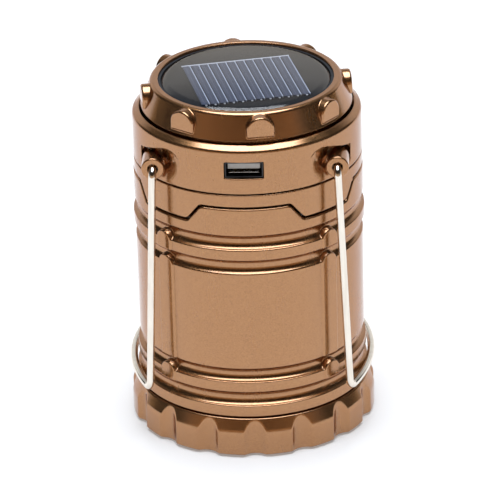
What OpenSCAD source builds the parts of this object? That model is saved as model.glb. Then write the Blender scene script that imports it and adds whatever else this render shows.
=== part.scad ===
// Pull-up solar camping lantern with two wire handles.
// Origin at the centre of the footprint, +Z up, -Y towards the front. Millimetres.
// Lower body: base ring, floor plate and ribbed sleeve.
// Head: band with the wire bosses, castellated skirt, solar cap and the lamp tube below it.
// The head slides up out of the sleeve, and a stop ring in the rim catches the tube's foot.

/* [Body] */
// Outer diameter of the base ring
base_d = 88; // [87:0.5:90]
// Outer diameter of the lowest band of the sleeve
body_d = 83; // [82.6:0.2:83.4]
// Bore of the sleeve
bore_d = 74.4; // [74:0.2:74.8]
// Depth of the rounded grooves round the sleeve
groove_depth = 1.9; // [1.2:0.1:2.0]
// Number of finger flutes round the base ring
flute_count = 16; // [12:2:18]
// Turn of the flutes from the front
flute_turn = 2.3; // [0:0.1:10]

/* [Head] */
// Outer diameter of the head
head_d = 81; // [80.6:0.2:81.4]
// Gap of the castellated parting line
parting_gap = 0.7; // [0.5:0.1:0.9]
// How far the head lifts
lift_travel = 55; // [40:1:55]

/* [Solar cap] */
// Diameter of the window in the cap
window_d = 61.4; // [60:0.2:61.6]
// Number of lugs round the cap
lug_count = 8; // [6:1:8]
// Width of one lug
lug_w = 9.8; // [8:0.2:10.4]
// Turn of the cap from the front
cap_turn = 9.4; // [0:0.2:15]
// Number of strips in the solar cell
strip_count = 12; // [8:1:14]
// Turn of the solar cell from the front
cell_turn = 13.7; // [0:0.1:15]

/* [Handles] */
// Diameter of the handle wire
wire_d = 2.65; // [2.4:0.05:2.7]
// Length of a handle from its pivot to its grip
handle_reach = 84.6; // [80:0.2:85]
// Outward lean of a hanging handle
handle_lean = 2.3; // [2.2:0.05:3]

/* [Lamp] */
// Outer diameter of the clear lamp tube
tube_d = 72.4; // [72.2:0.1:72.4]
// Light emitters round the post on each level
led_columns = 6; // [6:1:6]
// Levels of light emitters
led_rows = 3; // [2:1:4]

/* [Hidden] */
$fn = 96;
eps = 0.01;
quarter_angles = [0, 90, 180, 270];
diagonal_angles = [45, 135, 225, 315];

// Levels of the base and sleeve, from the ground up
pad_top_z = 1.8;
ring_bottom_z = 0.8;
floor_z = 3.6;
floor_plate_top_z = 5.6;
shoulder_z = 9.7;
ring_top_z = 14.5;
band_bottom_z = 15.1;
band_top_z = 19.25;
lower_ring_z = [24.65, 28.5];
panel_z = [33.6, 70.5];
upper_ring_z = [76.0, 79.9];
rim_bottom_z = 85.3;
notch_z = 89.2;
tab_rise = 6.2;
rim_top_z = notch_z + tab_rise;

// Radii of the base and sleeve
base_r = base_d / 2;
body_r = body_d / 2;
bore_r = bore_d / 2;
spigot_r = 40.3;
shoulder_r = 41.8;
ring_land_r = body_r - 0.4;
panel_r = body_r - 0.95;
rim_r = body_r - 0.8;
flute_r = 5.4;
flute_centre_r = base_r + 3.6;
rib_w = 7;
rib_rise = 0.45;
boss_r = 2.6;
body_screw_r = 34.8;
screw_shank_r = 1.25;
tab_half_top = 15.5;
tab_half_foot = 20.1;

// Stop ring and tube
tube_r = tube_d / 2;
tube_wall = 1.6;
stop_z = [86.5, 89.0];
stop_groove_r = bore_r + 0.7;
foot_top_z = stop_z[0] - lift_travel - 0.3;
foot_h = 4.6;
foot_z = foot_top_z - foot_h;
foot_r = bore_r - 0.3;

// Levels and radii of the head
head_r = head_d / 2;
head_bore_r = 37.9;
deck_z = [96.4, 98.4];
deck_r = 38.1;
skirt_top_z = 100.6;
band_z = 101.1;
lip_start_z = 117;
lip_r = 38.2;
lip_z = 118.65;
tab_shelf_z = [113.5, 115.5];
post_angles = [30, 150, 210, 330];
post_centre_r = 31.5;
shelf_angles = [16, 164, 196, 344];
shelf_screw_r = 34.8;

// Handle bosses and handles
pivot_x = 32.1;
pivot_z = 106.1;
boss_block_r = 8.8;
boss_root_y = 19.5;
pocket_x = [24.7, 36.3];
pocket_foot_z = 104.2;
pocket_top_z = [114.4, 109.9];
pocket_slope = 0.42;
pocket_wall = 1.8;
pocket_block_y = 18.2;
pocket_block_top_z = 115.2;
handle_boss_r = 4.0;
boss_face_y = 29.5;
eye_r = 1.75;
eye_depth = 1.5;
wire_r = wire_d / 2;
wire_bore_r = wire_r + 0.08;
leg_y = 31.5;
bend_r = 2.8;
wire_end_y = 21.3;
wire_bore_end_y = 20.9;
grip_bulge = 7.4;
grip_corner_r = 3.2;
bead_rise = 0.15;

// Sockets
usb_z = 110;
usb_w = 13.1;
usb_h = 5.7;
usb_wall = 0.35;
usb_depth = 14;
usb_mouth_y = -39.3;
usb_clear = 0.2;
inlet_w = 7.5;
inlet_h = 2.9;
inlet_z = 108.4;
inlet_mouth_y = 39.6;
charge_lamp_x = -9;

// Board and battery
board_z = [105.55, 107.15];
board_x = 12;
board_y = [-36.4, -8.2];
standoff_places = [[-9.6, -12], [9.6, -12], [-9.6, -24], [9.6, -24]];
charge_board_z = [105.35, 106.95];
lead_hole = [0, -4.6];
cell_r = 9.25;
cell_l = 65;
cell_y = 4;
cell_z = 108.6;

// Cap
cap_foot_z = 115.5;
cap_foot_r = 36.5;
cone_foot_z = 119.6;
cone_foot_r = 37.3;
cap_top_z = 128.6;
cap_top_r = 33.6;
window_r = window_d / 2;
ledge_z = [123.4, 125.0];
panel_board_top_z = 126.6;
cell_top_z = 127.0;
dome_top_z = 130.3;
dome_ball_r = 223;
dome_gap = 0.9;
dome_shoulder_r = 4.5;
dome_shoulder_start_r = 27.2;
lug_z = [120.6, 128.1];
lug_face_r = 37.2;
lug_corner = 0.7;
cell_w = 39;
cell_d = 37;

// Lamp post
post_flat = 8;
post_z = [foot_z + 7.2, deck_z[0]];
flange_in_r = 36.2;

// Points along an arc about centre c, from angle a0 to a1
function arc(c, r, a0, a1, n = 8) = [
    for (i = [0:n]) let (a = a0 + (a1 - a0) * i / n) c + r * [cos(a), sin(a)]
];

// A hollow curve of the given depth between two points of an outline that runs upwards
function cove(a, b, depth, n = 8) =
    let (
        half = norm(b - a) / 2,
        r = (half * half + depth * depth) / (2 * depth),
        inward = [a[1] - b[1], b[0] - a[0]] / (2 * half),
        c = (a + b) / 2 + inward * (depth - r),
        a0 = atan2(a[1] - c[1], a[0] - c[0]) + 360,
        a1 = atan2(b[1] - c[1], b[0] - c[0])
    )
    arc(c, r, a0, a1, n);

// The corner q of an outline p-q-s rounded to radius r
function round_corner(p, q, s, r, n = 5) =
    let (
        u = (p - q) / norm(p - q),
        v = (s - q) / norm(s - q),
        half = acos(u * v) / 2,
        c = q + (u + v) / norm(u + v) * r / sin(half),
        t0 = q + u * r / tan(half) - c,
        t1 = q + v * r / tan(half) - c,
        a0 = atan2(t0[1], t0[0]),
        turn = atan2(t1[1], t1[0]) - a0,
        sweep = turn > 180 ? turn - 360 : turn < -180 ? turn + 360 : turn
    )
    arc(c, r, a0, a0 + sweep, n);

// An outline with every corner rounded to its own radius, where 0 keeps it sharp
function rounded(points, radii) =
    let (count = len(points))
    [for (i = [0:count - 1]) each radii[i] == 0 ? [points[i]] :
        round_corner(points[(i + count - 1) % count], points[i], points[(i + 1) % count], radii[i])];

// Outline of one tab of the castellated parting line, grown by a gap
function tab_outline(gap) = rounded([
    [-30, -6], [-30, gap], [-tab_half_foot - gap / 2, gap], [-tab_half_top - gap / 2, tab_rise + gap],
    [tab_half_top + gap / 2, tab_rise + gap], [tab_half_foot + gap / 2, gap], [30, gap], [30, -6]
], [0, 0, 2.2, 2, 2, 2.2, 0, 0]);

// Turns a child that faces the front round to the given angle, seen from above
module at_angle(a) {
    rotate([0, 0, a]) children();
}

// Stands a flat outline (x across, y up) as a plate that reaches from y = -near to y = -far
module facing_front(near, far) {
    translate([0, -near, 0]) rotate([90, 0, 0]) linear_extrude(far - near) children();
}

// A plain ring between two levels
module ring(r_in, r_out, z) {
    difference() {
        translate([0, 0, z[0]]) cylinder(r = r_out, h = z[1] - z[0]);
        translate([0, 0, z[0] - 1]) cylinder(r = r_in, h = z[1] - z[0] + 2);
    }
}

// An upright cylinder at a place on a circle, counted from the front
module pin_at(a, r_centre, r, z) {
    at_angle(a) translate([0, -r_centre, z[0]]) cylinder(r = r, h = z[1] - z[0], $fn = 24);
}

// A flat outline made into an upright bar between two levels
module prism(z) {
    translate([0, 0, z[0]]) linear_extrude(z[1] - z[0]) children();
}

// A box given by its lowest and highest corners
module box(low, high) {
    translate(low) cube(high - low);
}

// A small insulated wire along a list of points
module lead(path, r) {
    sides = 8;
    count = len(path);
    rings = [for (i = [0:count - 1])
        let (
            t = path[min(i + 1, count - 1)] - path[max(i - 1, 0)],
            d = t / norm(t),
            side = abs(d[2]) > 0.9 ? [1, 0, 0] : [0, 0, 1],
            u = cross(d, side) / norm(cross(d, side)),
            v = cross(d, u)
        )
        for (k = [0:sides - 1]) path[i] + r * (cos(360 * k / sides) * u + sin(360 * k / sides) * v)];
    walls = [for (i = [0:count - 2]) for (k = [0:sides - 1])
        [i * sides + k, i * sides + (k + 1) % sides,
            (i + 1) * sides + (k + 1) % sides, (i + 1) * sides + k]];
    caps = [[for (k = [sides - 1:-1:0]) k], [for (k = [0:sides - 1]) (count - 1) * sides + k]];
    polyhedron(rings, concat(caps, walls));
}

// A smooth route from a to b with its ends pulled along the directions da and db
function route(a, da, b, db, n = 10) = [
    for (i = [0:n]) let (t = i / n, s = 1 - t)
        s * s * s * a + 3 * s * s * t * (a + da) + 3 * s * t * t * (b + db) + t * t * t * b
];

// ---------------------------------------------------------------- lower body

// Foot of the lantern: a fluted ring with a coned shoulder and a seat for the sleeve
module base_ring() {
    color("#4a2f20") difference() {
        rotate_extrude() polygon([
            [30, ring_bottom_z], [base_r - 0.8, ring_bottom_z], [base_r, ring_bottom_z + 0.8],
            [base_r, shoulder_z], [shoulder_r, ring_top_z], [spigot_r, ring_top_z],
            [spigot_r, floor_z], [30, floor_z]
        ]);
        for (i = [0:flute_count - 1])
            at_angle(flute_turn + i * 360 / flute_count)
                translate([0, -flute_centre_r, 0]) cylinder(r = flute_r, h = 20, $fn = 48);
        for (a = quarter_angles) pin_at(a, 36.6, 3.6, [0, pad_top_z]);
        for (a = diagonal_angles) {
            pin_at(a, body_screw_r, screw_shank_r, [0, floor_z + 1]);
            pin_at(a, body_screw_r, 2.5, [0, ring_bottom_z + 1.2]);
        }
    }
}

// Floor that closes the sleeve, with grip grooves below
module base_plate() {
    color("#2b2b2c") difference() {
        union() {
            translate([0, 0, floor_z]) cylinder(r = bore_r - 0.1, h = floor_plate_top_z - floor_z);
            translate([0, 0, 1.4]) cylinder(r = 29.8, h = floor_z - 1.4 + eps);
        }
        for (a = diagonal_angles) pin_at(a, body_screw_r, screw_shank_r, [0, 10]);
        for (r = [10, 18, 26]) ring(r - 0.6, r + 0.6, [0, 1.9]);
    }
}

// Four round rubber feet pressed into the ring
module base_pads() {
    color("#1c1c1c") for (a = quarter_angles) pin_at(a, 36.6, 3.55, [0, pad_top_z]);
}

// A pan-head screw that points up, with its slot below
module screw_up(a, r_centre, z_head, z_tip, r_head, h_head) {
    at_angle(a) translate([0, -r_centre, 0]) difference() {
        union() {
            translate([0, 0, z_head]) cylinder(r = r_head, h = h_head, $fn = 32);
            translate([0, 0, z_head]) cylinder(r = screw_shank_r - 0.02, h = z_tip - z_head, $fn = 32);
        }
        for (turn = [0, 90])
            rotate([0, 0, turn]) box([-r_head * 0.65, -0.25, z_head - 1], [r_head * 0.65, 0.25, z_head + 0.5]);
    }
}

// Four screws that clamp the ring and the floor plate to the bosses of the sleeve
module base_screws() {
    color("silver") for (a = diagonal_angles) screw_up(a, body_screw_r, 0.9, 14, 2.4, 1.1);
}

// One raised upright rib with an arched top, standing on a land of radius land_r
module rib(land_r, z, arch_z) {
    intersection() {
        ring(bore_r + 1.2, land_r + rib_rise, [z[0], arch_z + 1]);
        facing_front(30, 50) union() {
            translate([-rib_w / 2, z[0]]) square([rib_w, arch_z - rib_w / 2 - z[0]]);
            translate([0, arch_z - rib_w / 2]) circle(r = rib_w / 2);
        }
    }
}

// Turned wall of the sleeve, with its bands, grooves and plain panel
module sleeve_wall() {
    rotate_extrude() polygon(concat(
        [[bore_r, floor_z], [spigot_r, floor_z], [spigot_r, band_bottom_z], [body_r, band_bottom_z]],
        cove([body_r, band_top_z], [ring_land_r, lower_ring_z[0]], groove_depth),
        cove([ring_land_r, lower_ring_z[1]], [panel_r, panel_z[0]], groove_depth),
        cove([panel_r, panel_z[1]], [ring_land_r, upper_ring_z[0]], groove_depth),
        cove([ring_land_r, upper_ring_z[1]], [rim_r, rim_bottom_z], groove_depth),
        [[rim_r, rim_top_z], [bore_r, rim_top_z]]
    ));
}

// Outer sleeve with its ribs, screw bosses, castellated rim and stop groove
module body_sleeve() {
    color("#b88662") difference() {
        union() {
            sleeve_wall();
            for (a = diagonal_angles) at_angle(a) {
                rib(ring_land_r, lower_ring_z, 31.2);
                rib(panel_r, panel_z, 73.2);
                rib(ring_land_r, upper_ring_z, 82.6);
            }
            for (a = diagonal_angles) intersection() {
                pin_at(a, body_screw_r, boss_r, [floor_plate_top_z, 16]);
                cylinder(r = spigot_r, h = 20);
            }
        }
        difference() {
            ring(bore_r - 2, body_r + 3, [notch_z, rim_top_z + 2]);
            for (a = quarter_angles)
                at_angle(a) translate([0, 0, notch_z]) facing_front(0, 60) polygon(tab_outline(0));
        }
        ring(bore_r - 2, stop_groove_r, stop_z);
        for (a = diagonal_angles) pin_at(a, body_screw_r, screw_shank_r, [floor_z, 14.5]);
        translate([0, bore_r - 2, 92.2]) rotate([-90, 0, 0]) cylinder(r = 2, h = 4.1, $fn = 32);
    }
}

// Ring in the groove of the rim that catches the foot of the tube
module stop_ring() {
    color("#303031") ring(tube_r + 0.1, stop_groove_r, stop_z);
}

// Magnet in the back of the rim that works the reed switch
module switch_magnet() {
    color("#8f9296") translate([0, bore_r + 0.15, 92.2])
        rotate([-90, 0, 0]) cylinder(r = 1.98, h = 1.9, $fn = 32);
}

// ---------------------------------------------------------------- head casing

// Lower edge of the head, cut to match the rim of the sleeve
module head_skirt() {
    color("#b88662") difference() {
        union() {
            ring(38.3, head_r, [notch_z + parting_gap, skirt_top_z]);
            ring(flange_in_r, 39, [deck_z[1], skirt_top_z]);
        }
        for (a = quarter_angles) at_angle(a)
            translate([0, 0, notch_z]) facing_front(0, 60) polygon(tab_outline(parting_gap));
    }
}

// A cylinder about the handle axis at each of the four handle ends, between two depths
module at_handle_ends(r, y_in, y_out) {
    for (sx = [-1, 1], sy = [-1, 1])
        translate([sx * pivot_x, sy * y_in, pivot_z]) rotate([-sy * 90, 0, 0])
            cylinder(r = r, h = y_out - y_in, $fn = 64);
}

// Outline of the right front pocket, grown by a margin
module pocket_outline(margin) {
    offset(delta = margin) polygon([
        [pocket_x[0], pocket_foot_z], [pocket_x[1], pocket_foot_z], [pocket_x[1], pocket_top_z[1]],
        [pocket_x[0] + 2.3, pocket_top_z[0]], [pocket_x[0], pocket_top_z[0] - 1.6]
    ]);
}

// A bar with the outline of the pocket at each of the four handle ends
module at_pockets(margin, y_in, y_out) {
    for (flip_x = [0, 1], flip_y = [0, 1])
        mirror([flip_x, 0, 0]) mirror([0, flip_y, 0]) facing_front(y_in, y_out) pocket_outline(margin);
}

// Scooped pockets above the handle bosses, deepest under their upper edge
module handle_pockets() {
    h = pocket_block_top_z - pocket_foot_z;
    difference() {
        at_pockets(0, pocket_block_y, 50);
        translate([0, 0, pocket_foot_z - 1]) cylinder(r = head_r, h = 1 + eps);
        translate([0, 0, pocket_foot_z]) cylinder(r1 = head_r, r2 = head_r - pocket_slope * h, h = h);
    }
}

// Turned wall of the head with its bevelled upper lip
module head_band() {
    rotate_extrude() polygon(rounded([
        [head_bore_r, band_z], [head_r, band_z], [head_r, lip_start_z], [lip_r, lip_z], [head_bore_r, lip_z]
    ], [0, 0, 0.6, 0.3, 0]));
}

// Head casing: band, handle pockets with their bosses, screw posts and cap shelves
module head_shell() {
    color("#b88662") difference() {
        union() {
            difference() {
                union() {
                    head_band();
                    intersection() {
                        union() {
                            at_handle_ends(boss_block_r, pocket_block_y, 45);
                            at_pockets(pocket_wall, pocket_block_y, 45);
                        }
                        translate([0, 0, band_z])
                            cylinder(r = head_bore_r + 1, h = pocket_block_top_z - band_z);
                    }
                    for (a = post_angles) {
                        pin_at(a, post_centre_r, 3, [deck_z[1], tab_shelf_z[1]]);
                        at_angle(a) box([-0.8, -38.5, band_z], [0.8, -33, tab_shelf_z[1]]);
                    }
                    box([-11, 34, 103.6], [5, 38.2, charge_board_z[0]]);
                    for (a = shelf_angles)
                        at_angle(a) intersection() {
                            ring(33, 39, tab_shelf_z);
                            box([-3, -40, tab_shelf_z[0]], [3, -32, tab_shelf_z[1]]);
                        }
                }
                handle_pockets();
            }
            at_handle_ends(handle_boss_r, boss_root_y, boss_face_y);
        }
        at_handle_ends(wire_bore_r, wire_bore_end_y, 40);
        at_handle_ends(eye_r, boss_face_y - eye_depth, 40);
        for (a = post_angles) pin_at(a, post_centre_r, screw_shank_r, [90, 112]);
        for (a = shelf_angles) pin_at(a, shelf_screw_r, screw_shank_r, [110, 117]);
        box([-usb_w / 2 - usb_clear, -42, usb_z - usb_h / 2 - usb_clear],
            [usb_w / 2 + usb_clear, -36, usb_z + usb_h / 2 + usb_clear]);
        box([-inlet_w / 2, 36, inlet_z - inlet_h / 2], [inlet_w / 2, 42, inlet_z + inlet_h / 2]);
        translate([charge_lamp_x, 34, inlet_z]) rotate([-90, 0, 0]) cylinder(r = 1.5, h = 8, $fn = 32);
    }
}

// Floor of the head, with standoffs for the board
module deck_plate() {
    color("#e6e4dc") difference() {
        union() {
            translate([0, 0, deck_z[0]]) cylinder(r = deck_r, h = deck_z[1] - deck_z[0]);
            for (p = standoff_places)
                translate([p[0], p[1], deck_z[0]]) cylinder(r = 2.2, h = board_z[0] - deck_z[0], $fn = 32);
        }
        for (a = post_angles) pin_at(a, post_centre_r, screw_shank_r, [90, 100]);
        for (p = standoff_places)
            translate([p[0], p[1], deck_z[1]]) cylinder(r = 0.9, h = 10, $fn = 24);
        translate([lead_hole[0], lead_hole[1], 90]) cylinder(r = 1.9, h = 20, $fn = 32);
    }
}

// Four screws up through the deck into the posts of the head casing
module deck_screws() {
    color("silver") for (a = post_angles)
        screw_up(a, post_centre_r, deck_z[0] - 1.2, 108, 2.2, 1.2);
}

// ---------------------------------------------------------------- lamp

// Clear tube with light-spreading ridges inside
module lamp_tube() {
    tip_r = tube_r - tube_wall;
    ridge_count = 36;
    step = 360 / ridge_count;
    color([0.9, 0.95, 1, 0.35]) translate([0, 0, foot_z]) linear_extrude(deck_z[0] - foot_z)
        difference() {
            circle(r = tube_r, $fn = 144);
            polygon([for (i = [0:ridge_count - 1]) each [
                tip_r * [cos(i * step), sin(i * step)],
                (tip_r - 0.7) * [cos((i + 0.5) * step), sin((i + 0.5) * step)]
            ]]);
        }
}

// Collar on the end of the tube that guides it in the bore of the sleeve
module lamp_foot() {
    color("#efeeea") difference() {
        union() {
            ring(tube_r, foot_r, [foot_z, foot_top_z]);
            ring(28, foot_r, [foot_z - 1.6, foot_z]);
        }
        ring(foot_r - 0.5, foot_r + 1, [foot_z + 1.5, foot_z + 3.1]);
    }
}

// Rubber ring that holds the head at any height
module friction_ring() {
    color("#202020") ring(foot_r - 0.5, bore_r - 0.06, [foot_z + 1.55, foot_z + 3.05]);
}

// Dished reflector under the deck
module top_reflector() {
    color("#dfe3e6") rotate_extrude() polygon([
        [10, deck_z[0]], [28, deck_z[0]], [28, deck_z[0] - 1.0], [20, deck_z[0] - 5],
        [14, deck_z[0] - 10.5], [10.4, deck_z[0] - 16], [10, deck_z[0] - 16]
    ]);
}

// Cone that closes the tube and throws the light outwards
module bottom_reflector() {
    color("#dfe3e6") difference() {
        rotate_extrude() polygon([
            [0, foot_z - 1.6], [27.9, foot_z - 1.6], [27.9, foot_z], [33.6, foot_z], [33.6, foot_z + 0.8],
            [26, foot_z + 1.8], [18, foot_z + 3.6], [11, foot_z + 7.2], [0, foot_z + 7.2]
        ]);
        translate([0, 0, foot_z - 3]) cylinder(r = 8, h = 8);
    }
}

// Six-sided post that carries the light emitters
module led_post() {
    color("#f2f1ec") difference() {
        prism(post_z) circle(r = post_flat / cos(30), $fn = 6);
        prism([post_z[0] - 1, post_z[1] + 1]) circle(r = post_flat / cos(30) - 1.6, $fn = 6);
        box([-2, -12, 85], [2, 0, 92]);
    }
}

// Circuit strips on the flats of the post
module led_strips() {
    color("#e9eef0") for (i = [0:led_columns - 1])
        at_angle(i * 360 / led_columns) box([-3.4, -post_flat - 1.0, 38], [3.4, -post_flat, 78]);
}

// Light emitters on the strips
module led_chips() {
    pitch = 12;
    color("#f5d94a") for (i = [0:led_columns - 1], k = [0:led_rows - 1])
        at_angle(i * 360 / led_columns) translate([0, 0, 46 + k * pitch])
            box([-1.75, -post_flat - 1.9, 0], [1.75, -post_flat - 1.0, 3.5]);
}

// ---------------------------------------------------------------- battery

// Open cradle for the cell on the deck
module battery_cradle() {
    wall = 1.6;
    half_w = cell_r + 0.2;
    color("#222325") difference() {
        union() {
            box([-30, cell_y - half_w - wall, deck_z[1]], [30, cell_y + half_w + wall, 105]);
            box([-34.6, cell_y - 5.2, deck_z[1]], [34.6, cell_y + 5.2, 105]);
        }
        translate([-33.4, cell_y, cell_z]) rotate([0, 90, 0]) cylinder(r = half_w, h = 66.8);
        box([-33.4, cell_y - 4.6, cell_z - 3.8], [33.4, cell_y + 4.6, 120]);
        box([-2.6, cell_y - 12, deck_z[1] - 0.1], [2.6, cell_y - 6.6, 102.2]);
        for (sx = [-1, 1]) box([sx * 16 - 6, cell_y - 20, 101], [sx * 16 + 6, cell_y + 20, 120]);
    }
}

// Round rechargeable cell
module battery_cell() {
    color("#3f8f6a") translate([0, cell_y, cell_z]) rotate([0, 90, 0]) {
        translate([0, 0, -cell_l / 2]) cylinder(r = cell_r, h = cell_l - 1.2);
        translate([0, 0, cell_l / 2 - 1.2 - eps]) cylinder(r = 4, h = 1.2);
    }
}

// Spring plates at both ends of the cell
module battery_contacts() {
    color("#c9ccce") for (sx = [-1, 1])
        translate([sx * (cell_l / 2 + 0.25), cell_y, cell_z]) rotate([0, 90, 0])
            translate([0, 0, -0.2]) union() {
                cylinder(r = 4.4, h = 0.4);
                box([0, -1.5, 0], [8.5, 1.5, 0.4]);
            }
}

// ---------------------------------------------------------------- electronics

// Charge and output board on the standoffs
module main_board() {
    color("#1f5b3a") difference() {
        box([-board_x, board_y[0] + 1.2, board_z[0]], [board_x, board_y[1], board_z[1]]);
        for (p = standoff_places)
            translate([p[0], p[1], 100]) cylinder(r = 1.1, h = 10, $fn = 24);
    }
}

// Screws of the main board
module board_screws() {
    color("silver") for (p = standoff_places) translate([p[0], p[1], 0]) {
        translate([0, 0, board_z[1]]) cylinder(r = 1.7, h = 1.1, $fn = 24);
        translate([0, 0, deck_z[1] + 2]) cylinder(r = 0.88, h = board_z[1] - deck_z[1] - 1.9, $fn = 24);
    }
}

// Main components of the board
module board_parts() {
    color("#3a3a3c") {
        box([-4.6, -16, board_z[1]], [-0.6, -11, board_z[1] + 1.6]);
        box([1.2, -17.5, board_z[1]], [6.6, -12, board_z[1] + 3.2]);
        box([-5, -23, board_z[1]], [1, -19, board_z[1] + 1.2]);
        translate([5, -21.2, board_z[1]]) cylinder(r = 2.1, h = 6, $fn = 32);
        for (x = [-6, -3.5, -1, 1.5]) box([x - 0.8, -10.4, board_z[1]], [x + 0.8, -9.4, board_z[1] + 0.8]);
    }
}

// Steel shell of the output socket
module usb_shell() {
    color("#8e9092") difference() {
        box([-usb_w / 2, usb_mouth_y, usb_z - usb_h / 2],
            [usb_w / 2, usb_mouth_y + usb_depth, usb_z + usb_h / 2]);
        box([-usb_w / 2 + usb_wall, usb_mouth_y - 1, usb_z - usb_h / 2 + usb_wall],
            [usb_w / 2 - usb_wall, usb_mouth_y + usb_depth - 0.6, usb_z + usb_h / 2 - usb_wall]);
    }
}

// Plastic tongue and back of the output socket
module usb_tongue() {
    back = usb_mouth_y + usb_depth - 0.6;
    color("#c9c9c6") {
        box([-5.55, usb_mouth_y + 1.0, usb_z + 0.1], [5.55, back, usb_z + 1.94]);
        box([-6.1, back - 2.4, usb_z - 2.4], [6.1, back, usb_z + 0.1 + eps]);
    }
}

// Four contacts below the tongue
module usb_contacts() {
    color("#d8c27a") for (x = [-3.5, -1, 1, 3.5])
        box([x - 0.5, usb_mouth_y + 2.2, usb_z - 0.12], [x + 0.5, usb_mouth_y + usb_depth - 3.05, usb_z + 0.1]);
}

// Steel shell of the charging socket at the back
module charge_inlet() {
    color("#a9abad") difference() {
        box([-inlet_w / 2, 33.6, inlet_z - inlet_h / 2], [inlet_w / 2, inlet_mouth_y, inlet_z + inlet_h / 2]);
        box([-inlet_w / 2 + 0.3, 34, inlet_z - inlet_h / 2 + 0.3],
            [inlet_w / 2 - 0.3, 41, inlet_z + inlet_h / 2 - 0.3]);
    }
}

// Small board of the charging socket
module charge_board() {
    color("#1f5b3a") box([-11.8, 30.4, charge_board_z[0]], [6.2, 35.8, charge_board_z[1]]);
}

// Tongue of the charging socket
module charge_tongue() {
    color("#1d1d1e") box([-1.9, 34, inlet_z - 0.3], [1.9, inlet_mouth_y - 0.8, inlet_z + 0.3]);
}

// Charge lamp beside the charging socket
module charge_lamp() {
    color("#d63a2e") {
        translate([charge_lamp_x, 34, inlet_z]) rotate([-90, 0, 0]) cylinder(r = 1.44, h = 5.6, $fn = 32);
        box([charge_lamp_x - 1.9, 32.4, charge_board_z[1]], [charge_lamp_x + 1.9, 34 + eps, 109.9]);
    }
}

// Reed switch that turns the lamp on as the head leaves the magnet
module reed_switch() {
    color("#9fc7b8") {
        translate([-7, 31.6, deck_z[1] + 1.3]) rotate([0, 90, 0]) cylinder(r = 1.25, h = 14, $fn = 32);
        for (x = [-9, 7 - eps]) translate([x, 31.6, deck_z[1] + 1.3]) rotate([0, 90, 0])
            cylinder(r = 0.3, h = 2 + eps, $fn = 16);
    }
}

// Two leads from the contacts to the board
module battery_leads() {
    color("#b3261e") {
        for (s = [-1, 1])
            lead(route([s * 33.8, -1, 108.6], [s * 1.5, -12, 0], [s * 10.6, -18, 107.9], [s * 9, 3, 1]), 0.6);
    }
}

// Two leads from the solar panel to the board
module solar_leads() {
    color("#202022") for (x = [-6.6, -8.8])
        lead(route([x - 1, -14, 124.5], [0, -3, -5], [x, -19, board_z[1] + 0.15], [0, -1, 7]), 0.55);
}

// Two leads from the charging socket over the cell to the board
module charge_leads() {
    color("#c8c8c4") for (x = [4.0, 5.3])
        lead(concat(
            route([x, 31.2, charge_board_z[1] + 0.05], [0, 0, 8], [x, 4, 119.2], [0, 12, 0]),
            route([x, 3, 119.2], [0, -7, 0], [x, -9.6, board_z[1] + 0.05], [0, 0, 7])
        ), 0.45);
}

// Two leads from the board down into the post
module lamp_leads() {
    color("#d9d9d4") for (x = [-0.8, 0.8])
        lead(concat(
            route([x, -10.5, board_z[0] - 0.1], [0, 0, -4], [x, lead_hole[1], 97.5], [0, 0, 3.5]),
            [[x, lead_hole[1], 90]]
        ), 0.5);
}

// ---------------------------------------------------------------- solar cap

// Turned wall of the cap: foot, cone, flat rim and the ledge of the panel
module cap_wall() {
    inner_r = 31.7;
    rotate_extrude() polygon(rounded([
        [33, cap_foot_z], [cap_foot_r, cap_foot_z], [cap_foot_r, cone_foot_z - 0.2], [cone_foot_r, cone_foot_z],
        [cap_top_r, cap_top_z], [31.2, cap_top_z], [window_r + 0.2, cap_top_z - 0.4],
        [window_r + 0.2, ledge_z[1]], [27.5, ledge_z[1]], [27.5, ledge_z[0]], [inner_r, ledge_z[0]], [33, 119]
    ], [0, 0, 0, 0.25, 0.5, 0.2, 0, 0, 0, 0, 0, 0]));
}

// One lug of the cap: an arched tongue that stands out of the cone
module cap_lug() {
    half = lug_w / 2;
    facing_front(33.2, lug_face_r) union() {
        translate([0, lug_z[1] - half]) circle(r = half);
        polygon([
            [-half, lug_z[1] - half], [-half, lug_z[0] + lug_corner], [-half + lug_corner, lug_z[0]],
            [half - lug_corner, lug_z[0]], [half, lug_z[0] + lug_corner], [half, lug_z[1] - half]
        ]);
    }
}

// Coned cap with its window, panel ledge and lugs
module solar_cap() {
    color("#6a4a34") difference() {
        union() {
            cap_wall();
            for (i = [0:lug_count - 1]) at_angle(cap_turn + i * 360 / lug_count) cap_lug();
        }
        for (a = shelf_angles) pin_at(a, shelf_screw_r, screw_shank_r, [110, 119]);
        // relief over the ends of the cell
        translate([-33, cell_y, cell_z]) rotate([0, 90, 0]) cylinder(r = cell_r + 0.3, h = 66);
    }
}

// Four screws up through the shelves into the cap
module cap_screws() {
    color("silver") for (a = shelf_angles)
        screw_up(a, shelf_screw_r, tab_shelf_z[0] - 1.1, 118.5, 2.0, 1.1);
}

// Rubber ring round the panel
module panel_gasket() {
    color("#101112") ring(window_r - 0.7, window_r + 0.15, [panel_board_top_z, 127.7]);
}

// Board of the solar panel
module panel_board() {
    color("#15181c") translate([0, 0, ledge_z[1]])
        cylinder(r = window_r, h = panel_board_top_z - ledge_z[1]);
}

// One strip of the cell stack, counted from the left
module cell_strip(i) {
    pitch = cell_w / strip_count;
    x = -cell_w / 2 + i * pitch;
    box([x + 0.12, -cell_d / 2 + 0.7, panel_board_top_z], [x + pitch - 0.12, cell_d / 2 - 1.0, cell_top_z]);
}

// Strips of the solar cell
module solar_cells() {
    color("#2b3350") at_angle(cell_turn) for (i = [0:strip_count - 1]) cell_strip(i);
}

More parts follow.
